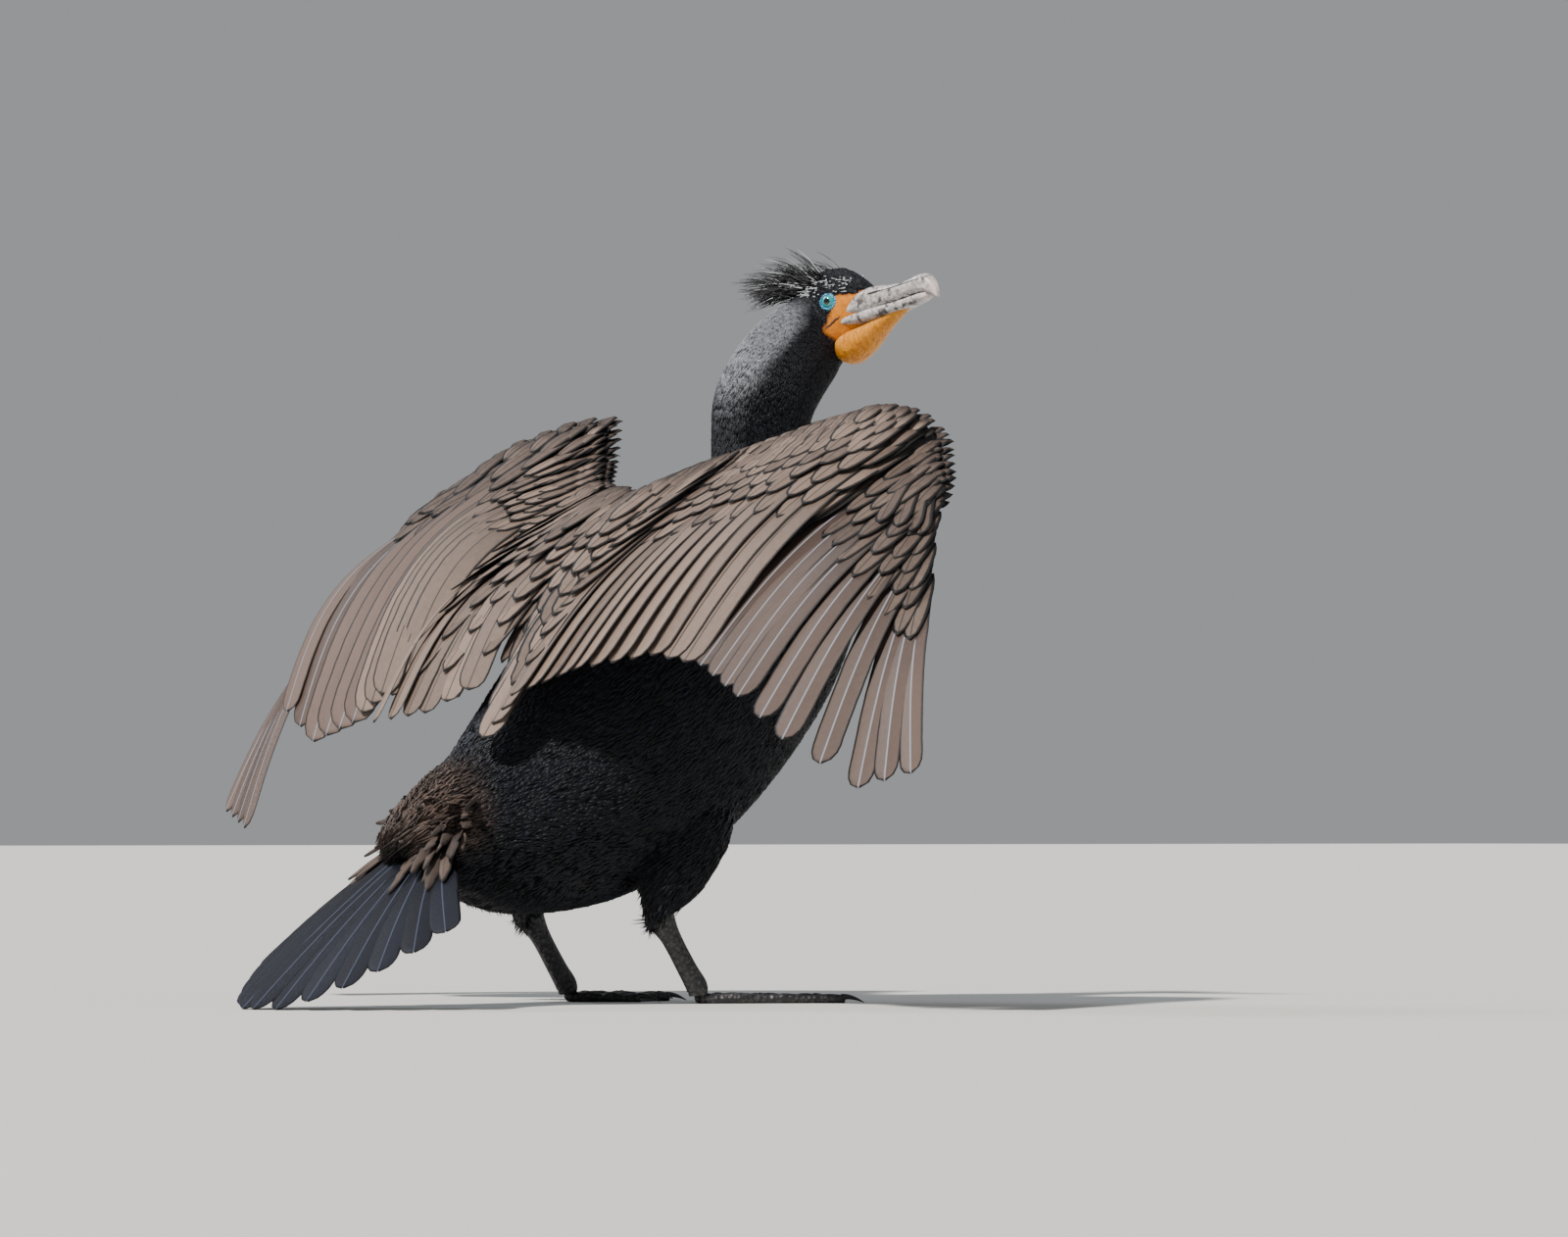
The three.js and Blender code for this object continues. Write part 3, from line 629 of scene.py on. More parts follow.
coat_count = TUFTS
coat_roots, coat_normals, coat_places = scatter(coat_count, coat_density)
coat_ways = lie_of(coat_roots, coat_normals)
wander = rng.normal(0, 0.10, coat_count)[:, None]
coat_ways = unit(coat_ways + wander * np.cross(coat_normals, coat_ways))
neck_share, head_share = shares(coat_roots)
coat_rump = plumage_colour(coat_roots)[1]
coat_length = by_place(TUFT_LENGTH) * rng.uniform(0.85, 1.15, coat_count)
coat_width = by_place(TUFT_WIDTH) * rng.uniform(0.85, 1.1, coat_count)
coat_lift = by_place(TUFT_LIFT)
# Each tuft takes the painted nape sheen and the rump's brown from a point along it.
coat_nape_sheen, coat_rump, _ = plumage_colour(coat_roots + coat_ways * coat_length[:, None] * 0.4)
coat_tone = np.clip(0.42 + rng.normal(0, 1, coat_count) * (0.22 - 0.1 * neck_share), 0, 1)
coat_paint = plumage_paint("coat_paint", 0.42)
per_piece = PIECE_TRIANGLES // (BLADES * len(BLADE_SIDES + BLADE_ENDS))
order = np.argsort(coat_roots[:, 2] - 0.5 * coat_roots[:, 0])
for k, first in enumerate(range(0, coat_count, per_piece)):
    pick = order[first : first + per_piece]
    tufts(
        f"coat_{k + 1}",
        coat_roots[pick],
        coat_normals[pick],
        coat_places[pick],
        coat_ways[pick],
        coat_length[pick],
        coat_width[pick],
        coat_lift[pick],
        {
            "nape_sheen": coat_nape_sheen[pick],
            "rump": coat_rump[pick],
            "bare": 0 * coat_nape_sheen[pick],
            "tone": coat_tone[pick],
        },
        coat_paint,
    )

# Feather vanes.
# Each large feather is a closed blade with a shaft, a hollow underside and a rounded end.
# Attributes carry the distances along it, from its rim and from its shaft, so its markings follow it.
VANE_WALL = 0.45
SHAFT_RISE = 0.35
SHAFT_WIDTH = 0.7
NARROW_SHARE = 0.35


def vane(root, tip, normal, width, bow, tilt, rows, cols, blunt, cup, ragged):
    """A feather on a grid of rows from root to tip and columns across.

    Its half width is the width times a base that swells and an end like a quarter ellipse after blunt.
    Its height is a sine bow along it, less cup times the square of the place across.
    """
    along = tip - root
    length = np.linalg.norm(along)
    along = along / length
    up = unit(normal - (normal @ along) * along)
    side = np.cross(along, up)
    across = side * math.cos(tilt) + up * math.sin(tilt)
    face = np.cross(across, along)
    t = 1 - (1 - np.linspace(0, 1, rows)) ** 1.25
    a = np.linspace(-1, 1, cols)
    swell = 0.5 + 0.5 * fade(t, 0, NARROW_SHARE) ** 0.7
    end = np.sqrt(np.clip(1 - fade(t, blunt, 1 - blunt) ** 2, 0, 1))
    half = width / 2 * swell * np.maximum(end, 0.05)
    edge = 1 + ragged * rng.normal(0, 1, (rows, 2)) * (t > 0.15)[:, None]
    half_side = np.where(a[None] < 0, half[:, None] * edge[:, :1], half[:, None] * edge[:, 1:])
    x = a[None] * half_side
    ridge = SHAFT_RISE * np.exp(-((x / SHAFT_WIDTH) ** 2)) * (1 - 0.7 * t)[:, None]
    z = bow * np.sin(np.pi * t)[:, None] - cup * a[None] ** 2 + ridge
    spine = root + t[:, None] * length * along
    top = spine[:, None] + x[..., None] * across + z[..., None] * up
    wall = VANE_WALL * (1 - 0.5 * t)[:, None] * (1 - 0.6 * a[None] ** 2)
    under = top - wall[..., None] * face * np.sign(face @ up)
    points = np.concatenate([top.reshape(-1, 3), under.reshape(-1, 3)])
    reach_side = half_side - np.abs(x)
    reach_end = (1 - t)[:, None] * length * np.ones_like(x)
    ones = np.ones((rows, cols))
    values = {
        "rim": np.minimum(reach_side, reach_end),
        "shaft": np.abs(x),
        "along": t[:, None] * ones,
        "barb": t[:, None] * length * ones - 0.8 * np.abs(x),
    }
    values = {key: np.tile(value.ravel(), 2) for key, value in values.items()}
    values["under"] = np.repeat([0.0, 1.0], rows * cols)
    grid = np.stack([np.tile(a, rows) * 0.5 + 0.5, np.repeat(t, cols)], 1)
    return points, values, grid


def vane_faces(rows, cols):
    """Quads of the upper grid, the lower grid turned over, and the strip round the rim."""
    i, j = np.meshgrid(np.arange(rows - 1), np.arange(cols - 1), indexing="ij")
    near, far = i * cols + j, (i + 1) * cols + j
    top = np.stack([near, near + 1, far + 1, far], -1).reshape(-1, 4)
    below = top[:, ::-1] + rows * cols
    loop = [*range(cols)]
    loop += [r * cols + cols - 1 for r in range(1, rows)]
    loop += [(rows - 1) * cols + c for c in range(cols - 2, -1, -1)]
    loop += [r * cols for r in range(rows - 2, 0, -1)]
    loop = np.array(loop)
    following = np.roll(loop, -1)
    wall = np.stack([following, loop, loop + rows * cols, following + rows * cols], -1)
    return np.concatenate([top, below, wall])


class Feathers:
    """Collects vanes and makes them one piece, each with its own patch of the unwrap."""

    def __init__(self):
        self.list = []

    def add(self, root, tip, normal, width, bow, tilt, form, tone, pale=0.0):
        """One vane of a form, with how light it is and how much painted highlight pales it."""
        points, values, grid = vane(root, tip, normal, width, bow, tilt, **form)
        values["tone"] = np.full(len(points), tone)
        values["pale"] = np.full(len(points), pale)
        self.list.append((points, values, grid, form["rows"], form["cols"]))

    def make(self, name, paint, replaces, slot):
        """One piece of all the vanes, each side of each vane on its own square of the unwrap."""
        cells = math.ceil(math.sqrt(2 * len(self.list)))
        points, faces, uvs, so_far = [], [], [], 0
        for k, (vane_points, _, grid, rows, cols) in enumerate(self.list):
            points.append(vane_points)
            faces.append(vane_faces(rows, cols) + so_far)
            for square in (2 * k, 2 * k + 1):
                corner = np.array([square % cells, square // cells])
                uvs.append((corner + 0.06 + 0.88 * grid) / cells)
            so_far += len(vane_points)
        keys = self.list[0][1]
        values = {key: np.concatenate([held[1][key] for held in self.list]) for key in keys}
        return piece(
            name,
            np.vstack(points),
            np.concatenate(faces).tolist(),
            paint,
            replaces=replaces,
            slot=slot,
            values=values,
            uv=np.vstack(uvs),
        )


def vane_paint(name, low, high, rim_colour, rim_width, shaft_colour, shaft_width, rough, **fixed):
    """A feather's colours: a ground from low to high, darker toward the root as painted shade and paled
    by a share of painted highlight, a rim, a shaft line and fine slanting barbs.
    """
    p = Paint(name, rough, **fixed)
    barb = p.math("SINE", p.math("MULTIPLY", p.value("barb"), 9.0))
    fine = p.math("ADD", p.math("MULTIPLY", barb, 0.10), p.noise(260, 4.0))
    # The ground darkens toward each feather's root: painted shade where the feathers above cover it.
    lit = p.math("MULTIPLY", p.value("tone"), p.ramp(p.value("along"), 0.1, 0.75))
    share = p.math("ADD", p.math("MULTIPLY", lit, 0.7), p.math("MULTIPLY", fine, 0.32), clamp=True)
    # The pale share lifts the ground toward a much paler colour: a painted highlight.
    highlight_colour = tuple(min(1, 1.9 * part) for part in high)
    ground = p.mix(p.value("pale"), p.mix(share, low, high), highlight_colour)
    ragged_rim = p.math("ADD", p.value("rim"), p.math("MULTIPLY", p.noise(700), -0.9))
    rim = p.ramp(ragged_rim, rim_width + 0.35, rim_width - 0.55)
    laid = p.mix(rim, ground, rim_colour)
    shaft = p.ramp(p.value("shaft"), shaft_width * 1.5, shaft_width * 0.6)
    laid = p.mix(shaft, laid, shaft_colour)
    laid = p.mix(p.math("MULTIPLY", p.value("under"), 0.6), laid, (0.05, 0.045, 0.045))
    p.bump(p.math("ADD", barb, p.math("MULTIPLY", p.noise(900), 1.5)), 0.00012, 0.5)
    return p.colour(laid)


# Wings.
# Each wing is a hand, a forearm and a shoulder lobe, hung half open to dry.
# Flight feathers fan from a fleshy arm, and tiers of scalloped coverts lie over their roots.
WING_TILT = 0.13
DORSAL = np.array([-0.6, 0.0, 0.8])
# Feathers are counted from the outermost, and the back's run on to the middle of the mantle.
PRIMARIES = 10
SECONDARIES = 21
TERTIALS = 27
MANTLE_END = 28
ALULA = 4
# The arm's half thickness at the hand and at the elbow, and its parts from one count to another.
HAND_FLESH, ELBOW_FLESH = 4.0, 8.4
FLESH = [("hand", 0, 9.7), ("forearm", 9.3, 20.7), ("shoulder", 20.5, 28)]
# How far each group's feathers bow, their widths at both ends, and the forms of their vanes.
HAND_BOW, ARM_BOW, BACK_BOW = 5, 7, 8
ROOT_SHARE = 0.1
ARM_ROWS = 24
PRIMARY_WIDTHS = {"right": (15, 22), "left": (15, 30)}
# How much painted highlight pales the primaries, more on the left wing.
PRIMARY_HIGHLIGHT = {"right": 0.25, "left": 0.5}
SECONDARY_WIDTHS = {"right": (22, 20), "left": (26, 25)}
TERTIAL_WIDTHS = (22, 24)
FLIGHT_FORM = {"rows": 26, "cols": 11, "blunt": 0.93, "cup": 0.9, "ragged": 0.012}
ALULA_FORM = {"rows": 12, "cols": 9, "blunt": 0.8, "cup": 0.8, "ragged": 0.01}
COVERT_FORM = {"rows": 9, "cols": 5, "blunt": 0.52, "cup": 0.6, "ragged": 0.01}
# Where the tips of the flight feathers lie, by the feather's count.
TIPS = {
    "right": [
        (0, (-128, -315, 131)),
        (2, (-141, -286, 123)),
        (4, (-154, -237, 150)),
        (6, (-151, -195, 174)),
        (9, (-139, -148, 192)),
        (12, (-144, -110, 198)),
        (16, (-166, -66, 190)),
        (20, (-186, -36, 176)),
        (23, (-198, -26, 152)),
        (26, (-166, -17, 190)),
        (28, (-168, 4, 178)),
    ],
    "left": [
        (0, (-128, 315, 111)),
        (3, (-144, 275, 101)),
        (4, (-145, 231, 170)),
        (6, (-151, 197, 152)),
        (9, (-149, 161, 163)),
        (12, (-147, 136, 179)),
        (20, (-130, 85, 177)),
        (21, (-184, 95, 162)),
        (24, (-182, 50, 167)),
        (26, (-176, 17, 180)),
        (28, (-172, -10, 174)),
    ],
}
# The wing's front edge, by the count of the feather behind it.
LEADS = {
    "right": [
        (0, (-26, -214, 252)),
        (5, (2, -186, 290)),
        (9, (26, -152, 316)),
        (10, (20, -138, 329)),
        (12, (14, -118, 333)),
        (16, (6, -78, 325)),
        (20, (-18, -44, 311)),
        (26, (-58, -18, 294)),
        (28, (-64, -3, 288)),
    ],
    "left": [
        (0, (-40, 255, 262)),
        (3, (-30, 233, 292)),
        (6, (-12, 192, 318)),
        (8, (6, 154, 331)),
        (9, (17, 140, 332)),
        (12, (4, 124, 312)),
        (16, (-12, 106, 296)),
        (20, (-30, 74, 290)),
        (26, (-58, 18, 289)),
        (28, (-64, -4, 284)),
    ],
}
# How far the sheet swells between the two lines, by count: a bowed span, more on the left wing.
ARCHES = {
    "right": [(0, 4), (9, 8), (16, 8), (26, 6), (28, 4)],
    "left": [(0, 6), (4, 14), (9, 23), (14, 23), (20, 14), (26, 8), (28, 4)],
}


class Wing:
    """The sheet of one wing: a lead line, a line of tips, and the normal between them.

    A point of it is lead + (tip - lead) * share + normal * (arch * sin(pi * share) + height).
    """

    def __init__(self, name):
        self.at = np.arange(MANTLE_END + 1)
        self.leads = self.along(LEADS[name])
        self.tips = self.along(TIPS[name])
        self.arch = np.interp(self.at, *zip(*ARCHES[name]))
        run = np.gradient(self.leads, axis=0) + np.gradient(self.tips, axis=0)
        kernel = np.array([1, 2, 3, 2, 1]) / 9
        n = unit(np.cross(self.tips - self.leads, run))
        n = n * np.sign(n @ DORSAL)[:, None]
        padded = np.pad(n, ((2, 2), (0, 0)), mode="edge")
        smoothed = [np.convolve(padded[:, k], kernel, "valid") for k in range(3)]
        self.normals = unit(np.stack(smoothed, -1))

    def along(self, line):
        """Straight runs between the given points, by count."""
        keys = [k for k, _ in line]
        points = np.array([p for _, p in line], float)
        return np.stack([np.interp(self.at, keys, points[:, k]) for k in range(3)], -1)

    def pick(self, rows, at):
        """One row of a line, at a count between whole ones."""
        return np.array([np.interp(at, self.at, rows[:, k]) for k in range(3)])

    def swell(self, at, share):
        """The arch times the sine of pi times the share of the way from lead to tip."""
        return np.interp(at, self.at, self.arch) * math.sin(math.pi * min(1, max(0, share)))

    def normal(self, at):
        """The way the wing's upper side faces."""
        return unit(self.pick(self.normals, at))

    def point(self, at, share, height):
        """A point at a count, a share of the way from lead to tip, and a height over the sheet."""
        lead, tip = self.pick(self.leads, at), self.pick(self.tips, at)
        return lead + (tip - lead) * share + (height + self.swell(at, share)) * self.normal(at)

    def arm(self, first, last, count):
        """Rings of the flesh: a rounded bar at the lead that thins out backward and to the hand."""
        section = [(-0.06, 0), (-0.045, 0.7), (0.0, 1), (0.08, 1), (0.18, 0.72), (0.3, 0.16)]
        section += [(0.3, -0.16), (0.2, -0.6), (0.1, -0.85), (-0.02, -0.8)]
        rings = []
        for at in np.linspace(first, last, count):
            half = HAND_FLESH + (ELBOW_FLESH - HAND_FLESH) * min(1, max(0, (at - 2) / 14))
            rings.append([self.point(at, share, height * half - 1) for share, height in section])
        return np.array(rings)


def flecked(name, rough, scale, dark, light, **fixed):
    """A paint that fine noise takes from dark to light."""
    p = Paint(name, rough, **fixed)
    p.colour(p.mix(p.noise(scale), dark, light))
    return p


def tube(name, rings, paint, **more):
    """A closed piece through rings of points."""
    return piece(name, rings.reshape(-1, 3), tube_faces(*rings.shape[:2]), paint, **more)


covert_paint = vane_paint(
    "covert_paint", (0.024, 0.016, 0.014), (0.27, 0.192, 0.153), (0.003, 0.0028, 0.004), 1.5,
    (0.02, 0.016, 0.015), 0.35, 0.6, Specular_IOR_Level=0.3,
)
remex_paint = vane_paint(
    "remex_paint", (0.034, 0.023, 0.019), (0.26, 0.188, 0.151), (0.012, 0.010, 0.010), 1.0,
    (0.04, 0.03, 0.027), 0.5, 0.55, Specular_IOR_Level=0.35,
)
primary_paint = vane_paint(
    "primary_paint", (0.014, 0.009, 0.008), (0.115, 0.077, 0.063), (0.010, 0.008, 0.008), 0.8,
    (0.24, 0.26, 0.31), 0.42, 0.5, Specular_IOR_Level=0.35,
)
arm_paint = flecked("arm_paint", 0.7, 300, (0.012, 0.010, 0.011), (0.05, 0.042, 0.04))
arm_paint.bump(arm_paint.noise(500), 0.0006)

# Tiers of coverts as (first count, last count, how many, root share, tip share, height, width).
HAND_TIERS = [
    (0.5, 9.4, 9, 0.10, 0.46, 1.2, 16),
    (0.9, 9.0, 8, 0.06, 0.35, 2.6, 16),
    (1.4, 9.4, 8, 0.02, 0.26, 4.0, 15),
    (2.0, 9.0, 7, -0.02, 0.18, 5.0, 14),
    (2.6, 9.4, 7, -0.04, 0.11, 5.4, 13),
    (3.0, 9.0, 7, -0.05, 0.05, 5.2, 12),
]
MARGIN_TIERS = [
    (3.0, 20.4, 26, -0.055, -0.005, 4.6, 10),
    (3.2, 20.2, 26, -0.085, -0.03, 2.4, 10),
    (3.0, 20.4, 26, -0.095, -0.045, -0.8, 10),
]
ARM_TIERS = [
    (9.6, 20.4, 10, 0.16, 0.50, 1.4, 18),
    (9.5, 19.8, 10, 0.12, 0.41, 2.4, 18),
    (9.6, 20.4, 10, 0.07, 0.33, 3.4, 17.5),
    (9.5, 19.8, 10, 0.03, 0.265, 4.4, 17),
    (9.6, 20.4, 11, 0.0, 0.205, 5.4, 16),
    (9.5, 19.8, 11, -0.02, 0.15, 6.3, 15),
    (9.6, 20.4, 12, -0.035, 0.10, 7.0, 14),
    (9.5, 19.8, 12, -0.05, 0.055, 7.2, 13),
    (9.6, 20.4, 13, -0.06, 0.01, 6.6, 12),
]
BACK_TIERS = [
    (20.8, 28, 5, 0.46, 0.88, 1.8, 24),
    (20.6, 27.2, 5, 0.36, 0.75, 3.0, 23),
    (20.8, 28, 6, 0.26, 0.64, 4.2, 21),
    (20.6, 27.2, 6, 0.18, 0.54, 5.4, 19),
    (20.8, 28, 7, 0.10, 0.45, 6.6, 18),
    (20.6, 27.2, 7, 0.04, 0.37, 7.6, 16.5),
    (20.8, 28, 8, 0.0, 0.295, 8.2, 15),
    (20.6, 27.2, 8, -0.02, 0.23, 8.4, 14),
    (20.8, 28, 9, -0.04, 0.165, 8.4, 13),
    (20.6, 27.2, 9, -0.05, 0.10, 8.0, 12),
]


def flight_feathers(wing, made, first, last, widths, height, tilt, bow, pale):
    """Flight feathers from their roots in the arm to the tips, widest toward the elbow."""
    for i in range(first, last):
        share = (i - first) / max(1, last - first - 1)
        width = widths[0] + (widths[1] - widths[0]) * share
        root, tip = wing.point(i, ROOT_SHARE, height), wing.pick(wing.tips, i)
        arch = bow + wing.swell(i, 0.5)
        # Each flight feather takes a random part of its group's painted highlight.
        tone, highlight_share = rng.uniform(0.35, 1.0), pale * rng.uniform(0.2, 1.0)
        made.add(root, tip, wing.normal(i), width, arch, tilt, FLIGHT_FORM, tone, highlight_share)


def covert_tiers(wing, made, tiers, tilt, bow, dark=0.0):
    """Tiers of small rounded coverts, each tier lying over the roots of the next.

    A covert's height is the bow of the feathers under it, bow * sin(pi * share), plus its tier's own.
    """

    def bowed(share):
        return bow * math.sin(math.pi * max(0, (share - ROOT_SHARE) / (1 - ROOT_SHARE)))

    for tier, (first, last, many, start, end, height, width) in enumerate(tiers):
        half_step = (last - first) / (many - 1) / 2
        for at in np.linspace(first, last, many) + (tier % 2) * half_step:
            at = min(at + rng.normal(0, 0.05), MANTLE_END)
            root = wing.point(at, start, height + bowed(start) - 1.6)
            end_here = end + rng.normal(0, 0.008)
            tip = wing.point(at, end_here, height + bowed(end) + 1.0 + rng.normal(0, 0.2))
            width_here = width * rng.uniform(0.95, 1.08)
            tilt_here = 0.4 * tilt + rng.normal(0, 0.03)
            tone = rng.uniform(0.3, 1.0) * (1 - dark)
            made.add(root, tip, wing.normal(at), width_here, 1.6, tilt_here, COVERT_FORM, tone)


for name, hand in (("right", -1), ("left", 1)):
    wing = Wing(name)
    tilt = WING_TILT * hand
    for part, first, last in FLESH:
        tube(f"arm_{part}_{name}", wing.arm(first, last, ARM_ROWS), arm_paint.made, slot="wing_feathers")
    primaries = Feathers()
    widths, pale = PRIMARY_WIDTHS[name], PRIMARY_HIGHLIGHT[name]
    flight_feathers(wing, primaries, 0, PRIMARIES, widths, 0, tilt, HAND_BOW, pale)
    primaries.make(f"primaries_{name}", primary_paint, [f"wing_hand_{name}"], "wing_feathers")
    hand_coverts = Feathers()
    covert_tiers(wing, hand_coverts, HAND_TIERS, tilt, HAND_BOW, 0.62)
    for k in range(ALULA):
        root = wing.point(8.8 - 0.9 * k, 0.02, 3)
        tip = wing.point(5.8 - 1.1 * k, 0.26 - 0.055 * k, 8.5 + 0.5 * k)
        hand_coverts.add(root, tip, wing.normal(7), 13, 1.5, tilt, ALULA_FORM, 0.15)
    hand_coverts.make(f"hand_coverts_{name}", covert_paint, [f"wing_hand_{name}"], "wing_feathers")
    secondaries = Feathers()
    widths = SECONDARY_WIDTHS[name]
    flight_feathers(wing, secondaries, PRIMARIES, SECONDARIES, widths, 0, tilt * 1.2, ARM_BOW, 0.15)
    secondaries.make(f"secondaries_{name}", remex_paint, [f"wing_forearm_{name}"], "wing_feathers")
    arm_coverts = Feathers()
    covert_tiers(wing, arm_coverts, ARM_TIERS, tilt, ARM_BOW)
    covert_tiers(wing, arm_coverts, MARGIN_TIERS, tilt, ARM_BOW, 0.93)
    arm_coverts.make(f"arm_coverts_{name}", covert_paint, [f"wing_forearm_{name}"], "wing_feathers")
    tertials = Feathers()
    widths = TERTIAL_WIDTHS
    flight_feathers(wing, tertials, SECONDARIES, TERTIALS, widths, 1.0, tilt, BACK_BOW, 0.1)
    tertials.make(f"tertials_{name}", remex_paint, [f"wing_shoulder_{name}"], "wing_feathers")
    scapulars = Feathers()
    covert_tiers(wing, scapulars, BACK_TIERS, tilt, BACK_BOW)
    scapulars.make(f"scapulars_{name}", covert_paint, [f"wing_shoulder_{name}"], "wing_feathers")

# Tail.
# Twelve stiff feathers, longest in the middle, fan to the bird's right with their tips on the floor.
# Ragged brown coverts lie over their roots in tiers.
TAIL_ROOT = np.array([-216.0, 0.0, 95.0])
TAIL_AXIS = unit(np.array([-0.81, 0.0, -0.586]))
TAIL_UP = unit(np.array([-0.586, 0.0, 0.81]))
TAIL_LENGTHS = [128, 140, 151, 160, 166, 168, 166, 160, 152, 142, 132, 120]
TAIL_ANGLES = [6, 4, 2, 0, -3, -6, -11, -17, -24, -31, -39, -47]
TAIL_WIDTH = 19
TAIL_FORM = {"rows": 26, "cols": 11, "blunt": 0.9, "cup": 0.9, "ragged": 0.012}
RUMP_FORM = {"rows": 12, "cols": 7, "blunt": 0.45, "cup": 1.2, "ragged": 0.14}
# Tiers of tail coverts as (length, rise of the tips, how many).
RUMP_TIERS = [(62, 5, 19), (54, 9, 19), (46, 14, 18), (38, 20, 16), (32, 28, 14)]
tail_paint = vane_paint(
    "tail_paint", (0.004, 0.0045, 0.007), (0.015, 0.017, 0.027), (0.003, 0.003, 0.005), 0.6,
    (0.05, 0.06, 0.10), 0.34, 0.5, Specular_IOR_Level=0.12,
)
rump_paint = vane_paint(
    "rump_paint", (0.008, 0.006, 0.006), (0.14, 0.098, 0.08), (0.03, 0.024, 0.022), 0.5,
    (0.06, 0.045, 0.04), 0.3, 0.7, Specular_IOR_Level=0.3,
)
tail = Feathers()
for i, (angle, length) in enumerate(zip(TAIL_ANGLES, TAIL_LENGTHS)):
    turn = math.radians(angle)
    root = TAIL_ROOT + [0, 9 - 1.7 * i, 0] + (3 - abs(i - 4)) * TAIL_UP
    way = TAIL_AXIS * math.cos(turn) + np.array([0, math.sin(turn), 0])
    tip = root + way * length
    tip[2] = max(tip[2], 0.8)
    tail.add(root, tip, TAIL_UP, TAIL_WIDTH, 3, 0.12, TAIL_FORM, rng.uniform(0.3, 0.9))
tail.make("rectrices", tail_paint, ["tail"], "tail_feathers")
tail_coverts = Feathers()
for tier, (reach, lift, many) in enumerate(RUMP_TIERS):
    for k in range(many):
        spread = k / (many - 1)
        turn = math.radians(13 - 54 * spread + rng.normal(0, 5))
        height = 4 + 3.5 * tier - 5 * abs(spread - 0.5)
        root = TAIL_ROOT + [6 + 7 * tier, 15 - 32 * spread, 0] + height * TAIL_UP
        way = TAIL_AXIS * math.cos(turn) + np.array([0, math.sin(turn), 0])
        tip = root + way * reach * rng.uniform(0.75, 1.1) + (lift - 5 + rng.normal(0, 5)) * TAIL_UP
        width, tilt, tone = rng.uniform(6, 10), rng.normal(0, 0.5), rng.uniform(0.0, 1.0)
        tail_coverts.add(root, tip, TAIL_UP, width, 3, tilt, RUMP_FORM, tone)
tail_coverts.make("tail_coverts", rump_paint, ["tail"], "tail_feathers")

# Bill.
# Two halves of grey horn over the jaws, with mottled plates and a pale hooked nail.
# The power squares the horn's section off.
SQUARE = 0.72
# Stations as [along the bill from the eye, height of the middle, half width, half height].
BILL_UPPER = [
    [4, -9.6, 10.5, 1.2],
    [11, -7.6, 11.4, 3.4],
    [19, -4.8, 10.8, 6.6],
    [29, -3.6, 8.8, 7.0],
    [42, -4.5, 7.2, 5.6],
    [56, -4.7, 6.2, 4.9],
    [66, -4, 5.7, 5.2],
    [72, -5.4, 4.8, 5.8],
    [76, -8.6, 3.3, 5.0],
    [78.5, -12.4, 1.6, 2.8],
]
BILL_LOWER = [
    [-4, -12.4, 11.6, 1.4],
    [10, -13.0, 12.2, 3.4],
    [29, -13.0, 9.4, 3.8],
    [48, -12.9, 6.8, 3.1],
    [64, -12.2, 5.2, 2.6],
    [71, -12, 3.6, 1.8],
]
horn = Paint("horn", 0.38, Specular_IOR_Level=0.5, Coat_Weight=0.15, Coat_Roughness=0.25)
plates = horn.cells(260)
mottle = horn.noise(420, 6.0)
pale = horn.mix(horn.ramp(mottle, 0.3, 0.7), (0.30, 0.28, 0.29), (0.62, 0.59, 0.57))
stained = horn.mix(horn.ramp(horn.noise(150, 4.0), 0.56, 0.70), pale, (0.075, 0.062, 0.068))
marked = horn.mix(horn.ramp(plates, 0.62, 0.80), stained, (0.10, 0.085, 0.09))
tipped = horn.mix(horn.ramp(horn.value("along"), 0.80, 0.95), marked, (0.66, 0.55, 0.54))
horn.bump(horn.math("ADD", plates, mottle), 0.0005, 0.7)
horn_made = horn.colour(tipped)
for half, stations, rows, sides in (("upper", BILL_UPPER, 60, 36), ("lower", BILL_LOWER, 50, 30)):
    rings = head_rings(stations, rows, sides, power=SQUARE)
    along = np.repeat(np.linspace(0, 1, rows), sides)
    tube(f"bill_{half}_horn", rings, horn_made, replaces=[f"bill_{half}"], slot="bill",
         values={"along": along})

# Nostrils, bill grooves and gape.
# A dark slit near the bill's base on each side, and the groove that runs from it to the nail.
# The gape is the dark fold that carries the mouth's line back and down over the bare cheek.
SIDES = (("right", 1), ("left", -1))
# Slits as (name, start and end along the bill, half thickness, height).
SLITS = [("nostril", 28, 38, 0.62, -1.6), ("groove", 36, 69, 0.34, -1.9)]
GAPE_THICK = 0.55
SLIT_ROWS = 24
slit_paint = flecked("slit_paint", 0.7, 600, (0.01, 0.009, 0.010), (0.06, 0.05, 0.052))


def profile(stations, count, along):
    """Middle height, half width and half height at places along a smooth path of stations."""
    path = smooth_path(stations, count)
    return [np.interp(along, path[:, 0], path[:, k]) for k in (1, 2, 3)]


def slit(name, centres, thick, margin):
    """A thin dark rod whose radius is thick times the root of a sine, from one margin to the other."""
    radius = thick * np.sin(np.pi * np.linspace(margin, 1 - margin, SLIT_ROWS)) ** 0.5
    rings = ellipse_rings(centres, CHEEK, CROWN, radius, radius, 10)
    tube(name, rings, slit_paint.made, slot="bill")


